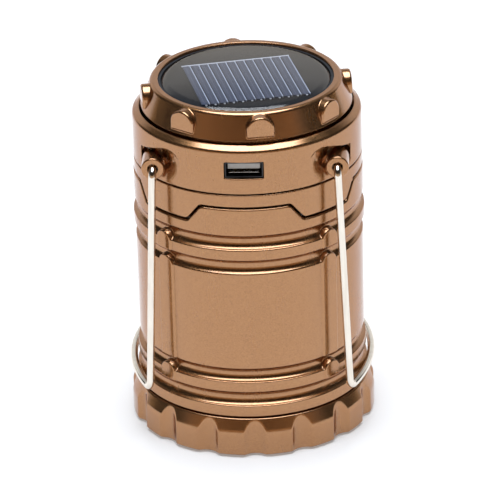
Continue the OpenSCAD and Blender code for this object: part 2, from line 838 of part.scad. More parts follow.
// Long tab at the back of the strips and the short tab in front of each
module cell_busbars() {
    pitch = cell_w / strip_count;
    color("#d6d8da") at_angle(cell_turn) {
        box([-cell_w / 2, cell_d / 2 - 0.9, panel_board_top_z], [cell_w / 2, cell_d / 2, cell_top_z - 0.1]);
        for (i = [0:strip_count - 1])
            box([-cell_w / 2 + (i + 0.5) * pitch - 0.3, -cell_d / 2, panel_board_top_z],
                [-cell_w / 2 + (i + 0.5) * pitch + 0.3, -cell_d / 2 + 0.6, cell_top_z - 0.1]);
    }
}

// Clear lens over the panel: a shallow dome with a rounded shoulder
module panel_dome() {
    edge_r = window_r - dome_gap;
    base_z = cell_top_z + 0.05;
    dome_c = [0, dome_top_z - dome_ball_r];
    tilt = asin(dome_shoulder_start_r / dome_ball_r);
    shoulder_c = dome_c + (dome_ball_r - dome_shoulder_r) * [sin(tilt), cos(tilt)];
    edge_angle = acos((edge_r - shoulder_c[0]) / dome_shoulder_r);
    color([0.2, 0.22, 0.25, 0.3]) rotate_extrude() polygon(concat(
        [[0, base_z], [edge_r, base_z]],
        arc(shoulder_c, dome_shoulder_r, edge_angle, 90 - tilt - 1),
        arc(dome_c, dome_ball_r, 90 - tilt, 90, 12)
    ));
}

// ---------------------------------------------------------------- handles

// A bend of wire that starts at the origin along +X and turns towards +Y
module wire_bend(r_bend, angle) {
    translate([0, r_bend, 0]) rotate([0, 0, -90]) rotate_extrude(angle = angle)
        translate([r_bend, 0]) circle(r = wire_r, $fn = 32);
}

// A straight piece of wire from the origin along +X
module wire_straight(l) {
    rotate([0, 90, 0]) cylinder(r = wire_r, h = l, $fn = 32);
}

// Half a handle in its own frame: pivot along Y at the origin, leg down, grip bulging to +X
module handle_half() {
    grip_half = 2 * atan(grip_bulge / (leg_y + grip_corner_r));
    grip_start = [grip_corner_r * sin(grip_half), leg_y - grip_corner_r * cos(grip_half)];
    leg_l = handle_reach - bend_r - grip_corner_r;
    // spindle, from its hidden end out to the bend
    translate([0, wire_end_y, 0]) rotate([0, 0, 90]) wire_straight(leg_y - bend_r - wire_end_y);
    // bend from the spindle down into the leg
    translate([0, leg_y - bend_r, 0]) rotate([0, 0, 90]) rotate([-90, 0, 0]) wire_bend(bend_r, 90);
    // leg
    translate([0, leg_y, -bend_r]) rotate([0, 90, 0]) wire_straight(leg_l);
    // corner from the leg into the grip
    translate([0, leg_y, -bend_r - leg_l]) rotate([0, 0, 180 + grip_half])
        rotate([0, 90, 0]) wire_bend(grip_corner_r, 90);
    // grip, tangent to the corner, as far as its middle
    translate([0, 0, -handle_reach]) grip_arc(grip_start, grip_half);
    // weld bead where the corner meets the grip
    translate([grip_start[0], grip_start[1], -handle_reach]) sphere(r = wire_r + bead_rise, $fn = 48);
}

// Arc from a corner point to the middle of the grip
module grip_arc(start, half) {
    r = start[1] / sin(half);
    translate([start[0] - r * cos(half), 0, 0]) rotate_extrude(angle = half)
        translate([r, 0]) circle(r = wire_r, $fn = 32);
}

// Whole handle about its pivot: two halves that meet in the middle of the grip
module handle() {
    handle_half();
    mirror([0, 1, 0]) handle_half();
}

// Right handle, hanging with its grip under the pivot
module handle_right() {
    color("#d7d8da") translate([pivot_x, 0, pivot_z]) rotate([0, -handle_lean, 0]) handle();
}

// Left handle, the mirror image of the right one
module handle_left() {
    color("#d7d8da") mirror([1, 0, 0])
        translate([pivot_x, 0, pivot_z]) rotate([0, -handle_lean, 0]) handle();
}

base_ring();
base_plate();
base_pads();
base_screws();
body_sleeve();
stop_ring();
switch_magnet();
head_skirt();
head_shell();
deck_plate();
deck_screws();
lamp_tube();
lamp_foot();
friction_ring();
top_reflector();
led_post();
led_strips();
led_chips();
bottom_reflector();
battery_cradle();
battery_cell();
battery_contacts();
main_board();
board_screws();
board_parts();
usb_shell();
usb_tongue();
usb_contacts();
charge_inlet();
charge_board();
charge_tongue();
charge_lamp();
reed_switch();
battery_leads();
solar_leads();
charge_leads();
lamp_leads();
solar_cap();
cap_screws();
panel_gasket();
panel_board();
solar_cells();
cell_busbars();
panel_dome();
handle_left();
handle_right();
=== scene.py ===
import math

import bpy
import numpy as np
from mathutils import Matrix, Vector


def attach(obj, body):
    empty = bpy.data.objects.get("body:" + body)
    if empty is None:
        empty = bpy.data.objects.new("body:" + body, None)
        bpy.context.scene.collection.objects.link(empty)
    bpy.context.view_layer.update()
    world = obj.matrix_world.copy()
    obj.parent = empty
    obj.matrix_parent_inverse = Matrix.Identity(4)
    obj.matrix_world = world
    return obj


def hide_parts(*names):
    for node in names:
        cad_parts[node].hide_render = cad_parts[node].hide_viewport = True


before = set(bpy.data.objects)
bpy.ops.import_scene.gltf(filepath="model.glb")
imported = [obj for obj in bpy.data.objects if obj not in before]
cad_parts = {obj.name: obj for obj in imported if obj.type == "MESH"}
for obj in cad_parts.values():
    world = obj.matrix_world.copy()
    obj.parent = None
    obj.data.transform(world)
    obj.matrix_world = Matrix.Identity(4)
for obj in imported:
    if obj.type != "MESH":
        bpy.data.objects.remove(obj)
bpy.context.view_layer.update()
MM = 0.001

# ---------------- sizes, in millimetres
# Sleeve: radii of its skin and bore, heights of its bands and coves, then its rim and stop groove.
BODY_R, BORE_R, SPIGOT_R = 41.5, 37.2, 40.3
LAND_R, PANEL_R, RIM_R = 41.1, 40.55, 40.7
FLOOR_Z, BAND_Z, RIM_TOP_Z = 3.6, (15.1, 19.25), 95.4
LOWER_Z, PANEL_Z, UPPER_Z = (24.65, 28.5), (33.6, 70.5), (76.0, 79.9)
RIM_Z, NOTCH_Z, TAB_RISE, GAP = 85.3, 89.2, 6.2, 0.7
STOP_Z, STOP_R = (86.5, 89.0), 37.9
GROOVE = 1.9
EDGE = 0.75
STRETCH_Z = 86.2
WALL_MIDDLE_R = 39
# Raised ribs: the radius they stand on, their foot and the height of their arched crown.
RIB_PADS = (
    (LAND_R, LOWER_Z[0], 31.2),
    (PANEL_R, PANEL_Z[0], 73.2),
    (LAND_R, UPPER_Z[0], 82.6),
)
# Skirt: its bore, and the radius and heights of its flange.
SKIRT_BORE, FLANGE_R, FLANGE_Z, SKIRT_TOP_Z = 38.3, 36.2, 98.4, 100.6
# Base ring: radii and heights, start and slope (rise, run) of its shoulder, flutes and recesses.
RING_R, RING_HOLE_R, RING_FOOT_Z, RING_TOP_Z = 44, 30, 0.8, 14.5
RING_SHOULDER, RING_SLOPE = (RING_R, 9.7), (4.8, 2.2)
FLUTES, FLUTE_R, FLUTE_AT, FLUTE_TURN = 16, 5.4, 47.6, 2.3
PAD_HOLE_R, PAD_AT, PAD_HOLE_TOP = 3.62, 36.6, 1.8
SINK_R, SINK_TOP, SCREW_R, SCREW_AT = 2.5, 2.0, 1.25, 34.8
# Head casing: band, bore and lip, then its handle axis at (x, z).
HEAD_R, HEAD_BORE, HEAD_FOOT_Z = 40.5, 37.9, 101.1
LIP_START, LIP_SLOPE, LIP_Z = (HEAD_R, 117.0), (1.65, 2.3), 118.65
PIVOT = (32.1, 106.1)
# Handle bosses, their bores, and the thick wall behind them.
BOSS_R, BOSS_Y, MOUTH_R, MOUTH_Y, WIRE_BORE_R, WIRE_BORE_Y = 4.0, (19.5, 29.5), 1.75, 28.0, 1.405, 20.9
BLOCK_R, BLOCK_Y, BLOCK_TOP_Z, BLOCK_BACK_R, POCKET_WALL = 8.8, 18.2, 115.2, 38.9, 1.8
# Handle pockets: their sides, foot, a point and the lean of their top edge, and the slopes of their floor.
POCKET_X, POCKET_LOW_Z, POCKET_CORNER = (22.6, 36.3), 103.0, 7.0
POCKET_EDGE, POCKET_LEAN = (35.2, 110.45), 0.48
POCKET_START, POCKET_SLOPES, POCKET_FROM_Y = (24.2, 104.2), (0.62, 0.45), 15
# Screw posts and cap shelves inside the head, by angle about the axis.
POST_ANGLES, POST_AT, POST_R, POST_Z = (30, 150, 210, 330), 31.5, 3, (98.4, 115.5)
SHELF_ANGLES, SHELF_Z, PILOT_TOP_Z = (16, 164, 196, 344), (113.5, 115.5), 112
# Cap: foot, cone with its slope (rise, run), top and hollow, then the lugs.
CAP_FOOT_R, CAP_FOOT_Z, CAP_LEDGE_Z, CAP_TOP_Z = 36.5, (115.5, 121), 119.45, 128.6
CAP_CONE, CAP_SLOPE = (37.3, 119.6), (9.0, 3.7)
CAP_HOLLOW_R, CAP_HOLLOW_Z, CAP_SCREW_TOP = 33, (119, 123.4), 119
LUGS, LUG_TURN, LUG_R, LUG_FACE, LUG_BACK, LUG_LOW_Z, LUG_ARCH_Z = 8, 9.4, 4.9, 37.2, 33.2, 120.6, 123.2
# Handle wire: its radius, and its turn in degrees at rest, which holds the grip out from the sleeve.
WIRE_R, WIRE_LEAN = 1.325, -2.3


# ---------------- mesh helpers
def add_mesh(name, points, quads, normals=None, rest=()):
    """A smooth mesh object from points in millimetres."""
    mesh = bpy.data.meshes.new(name)
    faces = np.asarray(quads).tolist() + [list(f) for f in rest]
    mesh.from_pydata((np.asarray(points) * MM).tolist(), [], faces)
    mesh.shade_smooth()
    if normals is not None:
        mesh.normals_split_custom_set_from_vertices(normals.tolist())
    piece = bpy.data.objects.new(name, mesh)
    bpy.context.scene.collection.objects.link(piece)
    return piece


def volume(points, quads):
    """Signed volume of a closed quad mesh."""
    a, b, c, d = (points[quads[:, i]] for i in range(4))
    return (np.einsum("ij,ij->i", a, np.cross(b, c)) + np.einsum("ij,ij->i", a, np.cross(c, d))).sum() / 6


def outward(points, quads):
    """The quads turned so that the surface faces outwards."""
    return quads[:, ::-1] if volume(points, quads) < 0 else quads


def loop_quads(rows, columns, closed_rows=True):
    """Quads of a grid that closes on itself across the columns, and along the rows if asked."""
    last = rows if closed_rows else rows - 1
    i, j = np.meshgrid(np.arange(last), np.arange(columns), indexing="ij")
    i, j = i.ravel(), j.ravel()
    i1, j1 = (i + 1) % rows, (j + 1) % columns
    return np.stack([i * columns + j, i * columns + j1, i1 * columns + j1, i1 * columns + j], 1)


def capped_mesh(name, points, columns):
    """A closed mesh from rows of points that run round it, with a flat cap on both ends."""
    rows = len(points) // columns
    quads = loop_quads(rows, columns, closed_rows=False)
    last = (rows - 1) * columns
    caps = [list(range(columns))[::-1], list(range(last, last + columns))]
    if volume(points, quads) < 0:
        quads = quads[:, ::-1]
        caps = [cap[::-1] for cap in caps]
    return add_mesh(name, points, quads, rest=caps)


# ---------------- outlines
def line(a, b, step=1.0):
    """Points from a to b."""
    a, b = np.array(a, float), np.array(b, float)
    count = max(1, round(np.linalg.norm(b - a) / step))
    return a + (b - a) * np.linspace(0, 1, count + 1)[:, None]


def cove(a, b, depth=GROOVE, step=0.36):
    """A hollow curve from a up to b."""
    a, b = np.array(a, float), np.array(b, float)
    chord = b - a
    half = np.linalg.norm(chord) / 2
    radius = (half * half + depth * depth) / (2 * depth)
    inward = np.array([-chord[1], chord[0]]) / (2 * half)
    centre = (a + b) / 2 + inward * (depth - radius)
    sweep = math.asin(half / radius)
    count = round(2 * sweep * radius / step)
    turn = np.linspace(-sweep, sweep, count + 1)[:, None]
    return centre + radius * (inward * np.cos(turn) + chord / (2 * half) * np.sin(turn))


def cut_back(path, length):
    """The path with the given length taken off its end, and the new end."""
    steps = np.linalg.norm(np.diff(path, axis=0), axis=1)
    along = np.concatenate([[0], np.cumsum(steps)])
    stop = along[-1] - length
    keep = along < stop - 0.03
    end = np.array([np.interp(stop, along, path[:, k]) for k in (0, 1)])
    return np.vstack([path[keep], end]), end


def outline(parts, softness, count=4):
    """A closed outline from parts that meet at corners, each corner rounded by its softness."""
    parts = [np.array(p) for p in parts]
    total = len(parts)
    corners = [parts[k][-1] for k in range(total)]
    for k in range(total):
        if softness[k]:
            parts[k], _ = cut_back(parts[k], softness[k])
            after = (k + 1) % total
            flipped, _ = cut_back(parts[after][::-1], softness[k])
            parts[after] = flipped[::-1]
    out = []
    for k in range(total):
        out += parts[k].tolist() if softness[k] else parts[k][:-1].tolist()
        if softness[k]:
            a, q, b = parts[k][-1], corners[k], parts[(k + 1) % total][0]
            for t in np.linspace(0, 1, count + 1)[1:-1]:
                out.append(((1 - t) ** 2 * a + 2 * t * (1 - t) * q + t * t * b).tolist())
    return np.array(out)


# ---------------- castellated parting line
def tab_curve(gap):
    """The parting line as heights above the notches against the distance from a tab's middle."""
    points = [(0, TAB_RISE + gap), (15.5 + gap / 2, TAB_RISE + gap), (20.1 + gap / 2, gap), (34, gap)]
    points = [np.array(p, float) for p in points]
    out = [points[0]]
    for k, radius in ((1, 2.0), (2, 2.2)):
        q = points[k]
        u = (points[k - 1] - q) / np.linalg.norm(points[k - 1] - q)
        v = (points[k + 1] - q) / np.linalg.norm(points[k + 1] - q)
        reach = radius / math.tan(math.acos(u @ v) / 2)
        for t in np.linspace(0, 1, 13):
            out.append((1 - t) ** 2 * (q + u * reach) + 2 * t * (1 - t) * q + t * t * (q + v * reach))
    out.append(points[3])
    return np.array(out)


def parting(angles, radius, gap):
    """Height of the parting line at each angle, and how much longer the slanted edge is."""
    curve = tab_curve(gap)
    turn = (angles + math.pi / 4) % (math.pi / 2) - math.pi / 4
    x = np.abs(radius * np.sin(turn))
    height = np.interp(x, curve[:, 0], curve[:, 1])
    after, before = (np.interp(x + shift, curve[:, 0], curve[:, 1]) for shift in (0.15, -0.15))
    slope = (after - before) / 0.3
    return NOTCH_Z + height, np.sqrt(1 + slope * slope)


def fine_angles(ranges, coarse):
    """Angles round the circle in degrees, finer inside the given (middle, half width, step) ranges."""
    out, a = [], -180.0
    while a < 180 - 1e-6:
        out.append(a)
        step = coarse
        for middle, half, fine in ranges:
            near = abs((a - middle + 180) % 360 - 180)
            if near < half:
                step = min(step, fine)
            elif near < half + coarse:
                step = min(step, max(fine, near - half + fine))
        a += step
    return np.radians(out)


FLANKS = [(q + s * 26.0, 5.4, 0.4) for q in (0, 90, 180, 270) for s in (-1, 1)]
RIBS = [(q, 5.6, 0.3) for q in (45, 135, 225, 315)]


def ring_points(r, z, angles):
    """Points at radius r and height z, both given for rows and columns."""
    return np.stack([r * np.sin(angles), -r * np.cos(angles), z + 0 * angles], -1).reshape(-1, 3)


# ---------------- sleeve and skirt
def rib_pad(s, z, land, low, arch, rise=0.45, half=3.5, edge=0.4):
    """Radius of a raised rib's surface at arc distance s and height z, low away from the rib."""
    d = np.where(z < arch - half, np.abs(s) - half, np.hypot(s, z - (arch - half)) - half)
    d = np.maximum(d, low - z)
    inside = np.clip(d + edge, 0, edge)
    top = land + rise - (edge - np.sqrt(edge * edge - inside * inside))
    return top - np.maximum(d, 0) * 7


def smooth_max(a, b, r):
    """The larger of two distances near a surface, with the corner between them rounded."""
    return np.minimum(-r, np.maximum(a, b)) + np.hypot(np.maximum(a + r, 0), np.maximum(b + r, 0))


def smooth_min(a, b, r):
    """The smaller of two distances near a surface, with a fillet between them."""
    return np.maximum(r, np.minimum(a, b)) - np.hypot(np.maximum(r - a, 0), np.maximum(r - b, 0))


def union_radius(a, b, k):
    """The larger of two radii with a small fillet where they cross."""
    return np.maximum(a, b) + np.maximum(k - np.abs(a - b), 0) ** 2 / (4 * k)


def sleeve_outline():
    """The section of the sleeve, from its floor up the skin and down the bore."""
    parts = [
        line((BORE_R, FLOOR_Z), (SPIGOT_R, FLOOR_Z), 3.0),
        line((SPIGOT_R, FLOOR_Z), (SPIGOT_R, BAND_Z[0]), 6.0),
        line((SPIGOT_R, BAND_Z[0]), (BODY_R, BAND_Z[0]), 0.7),
        line((BODY_R, BAND_Z[0]), (BODY_R, BAND_Z[1]), 1.0),
        cove((BODY_R, BAND_Z[1]), (LAND_R, LOWER_Z[0])),
        line((LAND_R, LOWER_Z[0]), (LAND_R, LOWER_Z[1]), 0.5),
        cove((LAND_R, LOWER_Z[1]), (PANEL_R, PANEL_Z[0])),
        line((PANEL_R, PANEL_Z[0]), (PANEL_R, 69.4), 2.2),
        line((PANEL_R, 69.4), (PANEL_R, PANEL_Z[1]), 0.35),
        cove((PANEL_R, PANEL_Z[1]), (LAND_R, UPPER_Z[0])),
        line((LAND_R, UPPER_Z[0]), (LAND_R, UPPER_Z[1]), 0.4),
        cove((LAND_R, UPPER_Z[1]), (RIM_R, RIM_Z)),
        line((RIM_R, RIM_Z), (RIM_R, RIM_TOP_Z), 1.0),
        line((RIM_R, RIM_TOP_Z), (BORE_R, RIM_TOP_Z), 1.0),
        line((BORE_R, RIM_TOP_Z), (BORE_R, STOP_Z[1]), 2.0),
        line((BORE_R, STOP_Z[1]), (STOP_R, STOP_Z[1]), 1.0),
        line((STOP_R, STOP_Z[1]), (STOP_R, STOP_Z[0]), 3.0),
        line((STOP_R, STOP_Z[0]), (BORE_R, STOP_Z[0]), 1.0),
        line((BORE_R, STOP_Z[0]), (BORE_R, FLOOR_Z), 9.0),
    ]
    soft = [0, 0, 0.4, 0.35, 0.45, 0.35, 0.45, 0, 0.45, 0.45, 0.45, 0.45, EDGE, 0.12, 0, 0, 0, 0, 0]
    return outline(parts, soft)


def sleeve():
    """The sleeve with its bands, coves, raised ribs and castellated rim."""
    path = sleeve_outline()
    angles = fine_angles(FLANKS + RIBS, 1.6)
    r = np.repeat(path[:, :1], len(angles), 1)
    z = np.repeat(path[:, 1:], len(angles), 1)
    # The top edge follows the parting line; the rows below it are stretched to meet it.
    outer = (path[:, 0] > WALL_MIDDLE_R) & (path[:, 1] > STRETCH_Z)
    top = path[:, 1] > RIM_TOP_Z - EDGE - 0.01
    inner = (path[:, 0] < WALL_MIDDLE_R) & (path[:, 1] > STOP_Z[1] + 0.02)
    for k in np.flatnonzero(outer | inner | top):
        edge, longer = parting(angles, path[k, 0], 0)
        if top[k]:
            z[k] = edge - (RIM_TOP_Z - path[k, 1]) * longer * (1 if path[k, 0] > WALL_MIDDLE_R else 0.3)
        else:
            start = STRETCH_Z if outer[k] else STOP_Z[1] + 0.02
            share = (path[k, 1] - start) / (RIM_TOP_Z - EDGE - 0.01 - start)
            z[k] = start + (edge - (EDGE if outer[k] else 0.14) * longer - start) * share
    skin = path[:, 0] > 38.5
    turn = (angles % (math.pi / 2)) - math.pi / 4
    for land, low, arch in RIB_PADS:
        rows = skin & (path[:, 1] > low - 1) & (path[:, 1] < arch + 2)
        pad = rib_pad((land * turn)[None, :], z[rows], land, low, arch)
        r[rows] = union_radius(r[rows], pad, 0.3)
    points = ring_points(r, z, angles[None, :])
    quads = outward(points, loop_quads(len(path), len(angles)))
    return add_mesh("sleeve_cast", points, quads)


def skirt():
    """The lower edge of the head, with the tabs that meet the sleeve and a flange on top."""
    low, edge_rise, even_z = NOTCH_Z + GAP, 0.46, 98.3
    parts = [
        line((SKIRT_BORE, low), (HEAD_R, low), 1.0),
        line((HEAD_R, low), (HEAD_R, SKIRT_TOP_Z), 1.2),
        line((HEAD_R, SKIRT_TOP_Z), (FLANGE_R, SKIRT_TOP_Z), 1.4),
        line((FLANGE_R, SKIRT_TOP_Z), (FLANGE_R, FLANGE_Z), 1.2),
        line((FLANGE_R, FLANGE_Z), (SKIRT_BORE, FLANGE_Z), 1.2),
        line((SKIRT_BORE, FLANGE_Z), (SKIRT_BORE, low), 1.2),
    ]
    path = outline(parts, [0.45, 0.4, 0.2, 0.15, 0.15, 0.15])
    angles = fine_angles(FLANKS, 1.6)
    r = np.repeat(path[:, :1], len(angles), 1)
    z = np.repeat(path[:, 1:], len(angles), 1)
    for k in range(len(path)):
        edge, longer = parting(angles, path[k, 0], GAP)
        above = path[k, 1] - low
        if above < edge_rise:
            z[k] = edge + above * longer
        elif path[k, 1] < even_z:
            share = (path[k, 1] - low - edge_rise) / (even_z - low - edge_rise)
            start = edge + edge_rise * longer
            z[k] = start + (even_z - start) * share
    points = ring_points(r, z, angles[None, :])
    quads = outward(points, loop_quads(len(path), len(angles)))
    return add_mesh("skirt_cast", points, quads)


# ---------------- solids from distance fields
def slope_of(field, p, h=0.02):
    """Gradient of a field at points."""
    g = []
    for k in range(3):
        step = np.zeros(3)
        step[k] = h
        g.append((field(*(p + step).T) - field(*(p - step).T)) / (2 * h))
    return np.stack(g, 1)


def settle(field, p, rounds=4):
    """Moves points onto the surface of the field."""
    for _ in range(rounds):
        g = slope_of(field, p)
        size = np.maximum((g * g).sum(1), 0.05)
        move = (field(*p.T) / size)[:, None] * g
        length = np.linalg.norm(move, axis=1, keepdims=True)
        p = p - move * np.minimum(1, 0.25 / np.maximum(length, 1e-9))
    return p


def cell_crossings(f, shape):
    """How many corners of each cell are inside, and the sum and count of its edge crossings."""
    inside = f < 0
    corners = np.zeros(shape, int)
    place = np.zeros((*shape, 3))
    count = np.zeros(shape)

    def shifted(corner):
        return tuple(slice(start, start + size) for start, size in zip(corner, shape))

    for corner in np.ndindex(2, 2, 2):
        corners += inside[shifted(corner)]
        for axis in range(3):
            if corner[axis]:
                continue
            far = [1 if k == axis else corner[k] for k in range(3)]
            f0, f1 = f[shifted(corner)], f[shifted(far)]
            cross = (f0 < 0) != (f1 < 0)
            share = np.where(cross, f0 / np.where(cross, f0 - f1, 1), 0)
            for k in range(3):
                place[..., k] += cross * (share if k == axis else corner[k])
            count += cross
    return corners, place, count


def edge_quads(inside, index, columns):
    """A quad round every grid edge that the surface crosses, between the points of its four cells."""
    _, nr, nz = inside.shape
    quads = []
    for axis in range(3):
        others = [k for k in range(3) if k != axis]
        low, high = [0, 1, 1], [columns, nr - 1, nz - 1]
        if axis:
            low[axis] = 0
        ranges = (np.arange(low[k], high[k]) for k in range(3))
        at = [a.ravel() for a in np.meshgrid(*ranges, indexing="ij")]
        first = inside[tuple(at)]
        change = first != inside[tuple(a + (k == axis) for k, a in enumerate(at))]
        (i, j, k), first = [a[change] for a in at], first[change]
        ring = []
        for m, n in ((1, 1), (0, 1), (0, 0), (1, 0)):
            shift = [0, 0, 0]
            shift[others[0]], shift[others[1]] = m, n
            ring.append(index[(i - shift[0]) % columns, j - shift[1], k - shift[2]])
        quad = np.stack(ring, 1)
        facing = first if axis != 1 else ~first
        quad[~facing] = quad[~facing][:, ::-1]
        quads.append(quad)
    return np.concatenate(quads)


def evened(field, points, quads, rounds=2):
    """The points spread evenly along the surface of the field."""
    around = np.zeros_like(points)
    count = np.zeros(len(points))
    edges = np.concatenate([quads[:, [k, (k + 1) % 4]] for k in range(4)])
    for _ in range(rounds):
        around[:], count[:] = 0, 0
        for a, b in ((0, 1), (1, 0)):
            np.add.at(around, edges[:, a], points[edges[:, b]])
        for a in (0, 1):
            np.add.at(count, edges[:, a], 1)
        points = settle(field, 0.5 * points + 0.5 * around / count[:, None], 2)
    return points


def surface(name, field, columns, r_range, z_range, step):
    """The surface of a field as quads, found on a grid of angle, radius and height."""
    nr = round((r_range[1] - r_range[0]) / step) + 1
    nz = round((z_range[1] - z_range[0]) / step) + 1
    theta = np.arange(columns) * 2 * math.pi / columns
    rs = np.linspace(*r_range, nr)
    zs = np.linspace(*z_range, nz)
    t, r, z = np.meshgrid(theta, rs, zs, indexing="ij")
    f = field(r * np.sin(t), -r * np.cos(t), z)
    f = np.concatenate([f, f[:1]])
    shape = (columns, nr - 1, nz - 1)
    corners, place, count = cell_crossings(f, shape)
    active = (corners > 0) & (corners < 8)
    index = np.full(shape, -1)
    index[active] = np.arange(active.sum())
    i, j, k = np.nonzero(active)
    offset = place[active] / count[active][:, None]
    angle = (i + offset[:, 0]) * 2 * math.pi / columns
    radius = rs[0] + (j + offset[:, 1]) * (rs[1] - rs[0])
    height = zs[0] + (k + offset[:, 2]) * (zs[1] - zs[0])
    points = np.stack([radius * np.sin(angle), -radius * np.cos(angle), height], 1)
    quads = edge_quads(f < 0, index, columns)
    points = evened(field, settle(field, points), quads)
    quads = outward(points, quads)
    normals = slope_of(field, points, 0.03)
    normals /= np.maximum(np.linalg.norm(normals, axis=1, keepdims=True), 1e-9)
    return add_mesh(name, points, quads, normals)


def turned(x, y, degrees):
    """Coordinates seen from a frame turned by the given angle about Z."""
    c, s = math.cos(math.radians(degrees)), math.sin(math.radians(degrees))
    return x * c + y * s, y * c - x * s


def box_field(x, y, z, low, high, corner=0.0):
    """Distance to a box with rounded corners."""
    low, high = np.array(low, float), np.array(high, float)
    mid, half = (low + high) / 2, (high - low) / 2 - corner
    q = [np.abs(v - m) - h for v, m, h in zip((x, y, z), mid, half)]
    out = np.sqrt(sum(np.maximum(v, 0) ** 2 for v in q))
    return out + np.minimum(np.maximum(q[0], np.maximum(q[1], q[2])), 0) - corner


def between(value, low, high):
    """Distance outside a range."""
    return np.maximum(low - value, value - high)


def cone_field(rho, z, start, slope):
    """Distance outside a cone that starts at (radius, height) and narrows by (rise, run)."""
    rise, run = slope
    return ((rho - start[0]) * rise + (z - start[1]) * run) / math.hypot(rise, run)


def ring_field(x, y, z):
    """The base ring: fluted, with a coned shoulder and recesses below."""
    rho = np.hypot(x, y)
    f = smooth_max(rho - RING_R, cone_field(rho, z, RING_SHOULDER, RING_SLOPE), 0.5)
    f = smooth_max(f, z - RING_TOP_Z, 0.35)
    f = smooth_max(f, RING_FOOT_Z - z, 0.8)
    f = smooth_max(f, RING_HOLE_R - rho, 0.2)
    step = math.radians(360 / FLUTES)
    angle = np.arctan2(x, -y) - math.radians(FLUTE_TURN)
    near = (angle + step / 2) % step - step / 2
    flute = FLUTE_R - np.hypot(rho * np.sin(near), rho * np.cos(near) - FLUTE_AT)
    f = smooth_max(f, flute, 0.45)
    seat = smooth_max(rho - SPIGOT_R, FLOOR_Z - z, 0.1)
    f = smooth_max(f, -seat, 0.2)
    for quarter in range(4):
        xl, yl = turned(x, y, 90 * quarter)
        f = smooth_max(f, -np.maximum(np.hypot(xl, yl + PAD_AT) - PAD_HOLE_R, z - PAD_HOLE_TOP), 0.15)
        xl, yl = turned(x, y, 90 * quarter + 45)
        screw = np.hypot(xl, yl + SCREW_AT)
        f = smooth_max(f, -np.maximum(screw - SINK_R, z - SINK_TOP), 0.15)
        f = np.maximum(f, SCREW_R - screw)
    return f


def pocket_outline(ax, z):
    """Distance outside the outline of a handle pocket, seen from the front."""
    edge_x, edge_z = POCKET_EDGE
    top = (z - edge_z - POCKET_LEAN * (edge_x - ax)) / math.hypot(1, POCKET_LEAN)
    inner_top = smooth_max(top, POCKET_X[0] - ax, POCKET_CORNER)
    return np.maximum(inner_top, np.maximum(ax - POCKET_X[1], POCKET_LOW_Z - z))


def with_blocks(f, x, y, z):
    """Thickens the wall behind the handle pockets and bosses."""
    ax, ay, rho = np.abs(x), np.abs(y), np.hypot(x, y)
    axis = np.hypot(ax - PIVOT[0], z - PIVOT[1])
    outline_gap = pocket_outline(ax, z) - POCKET_WALL
    block = np.maximum(np.minimum(axis - BLOCK_R, outline_gap), BLOCK_Y - ay)
    block = np.maximum(block, np.maximum(between(z, HEAD_FOOT_Z, BLOCK_TOP_Z), rho - BLOCK_BACK_R))
    return smooth_min(f, block, 0.3)


def with_posts(f, x, y, z):
    """Adds the screw posts of the deck, each with a web to the wall and a pilot hole."""
    for angle in POST_ANGLES:
        xl, yl = turned(x, y, angle)
        axis = np.hypot(xl, yl + POST_AT)
        post = np.maximum(axis - POST_R, between(z, *POST_Z))
        web = box_field(xl, yl, z, (-0.8, -38.5, HEAD_FOOT_Z), (0.8, -33, POST_Z[1]))
        f = smooth_min(f, smooth_min(post, web, 0.3), 0.3)
        f = np.maximum(f, -np.maximum(axis - SCREW_R, z - PILOT_TOP_Z))
    return f


def with_shelves(f, x, y, z):
    """Adds the shelves that the cap is screwed to."""
    rho = np.hypot(x, y)
    for angle in SHELF_ANGLES:
        xl, yl = turned(x, y, angle)
        shelf = box_field(xl, yl, z, (-3, -40, SHELF_Z[0]), (3, -32, SHELF_Z[1]), 0.2)
        f = smooth_min(f, np.maximum(shelf, between(rho, 33, 39)), 0.3)
        hole = np.hypot(np.hypot(xl, yl + SCREW_AT), np.maximum(PILOT_TOP_Z - z, 0))
        f = np.maximum(f, SCREW_R - hole)
    return f


def with_pockets(f, x, y, z):
    """Dishes the handle pockets, and stands the bored bosses in them."""
    ax, ay, rho = np.abs(x), np.abs(y), np.hypot(x, y)
    start_x, start_z = POCKET_START
    slope_x, slope_z = POCKET_SLOPES
    floor = HEAD_R + smooth_max(-slope_z * (z - start_z), -slope_x * (ax - start_x), 1.5)
    scooped = smooth_max(f, rho - floor, 1.2)
    whole = smooth_max(f, np.minimum(-pocket_outline(ax, z), ay - POCKET_FROM_Y), 0.25)
    f = smooth_min(scooped, whole, 0.1)
    axis = np.hypot(ax - PIVOT[0], z - PIVOT[1])
    boss = smooth_max(axis - BOSS_R, between(ay, *BOSS_Y), 0.55)
    f = smooth_min(f, boss, 0.4)
    f = smooth_max(f, -np.maximum(axis - MOUTH_R, MOUTH_Y - ay), 0.25)
    return np.maximum(f, -np.maximum(axis - WIRE_BORE_R, WIRE_BORE_Y - ay))


def with_sockets(f, x, y, z):
    """Cuts the windows of the output socket, the charging socket and the charge lamp."""
    usb = np.maximum(box_field(x, y, z, (-6.75, -46, 106.95), (6.75, -30, 113.05), 0.5), y + 36)
    f = smooth_max(f, -usb, 0.3)
    inlet = np.maximum(box_field(x, y, z, (-3.85, 30, 106.85), (3.85, 46, 109.95), 0.7), 36 - y)
    f = smooth_max(f, -inlet, 0.3)
    return smooth_max(f, -np.maximum(np.hypot(x + 9, z - 108.4) - 1.5, 36 - y), 0.25)


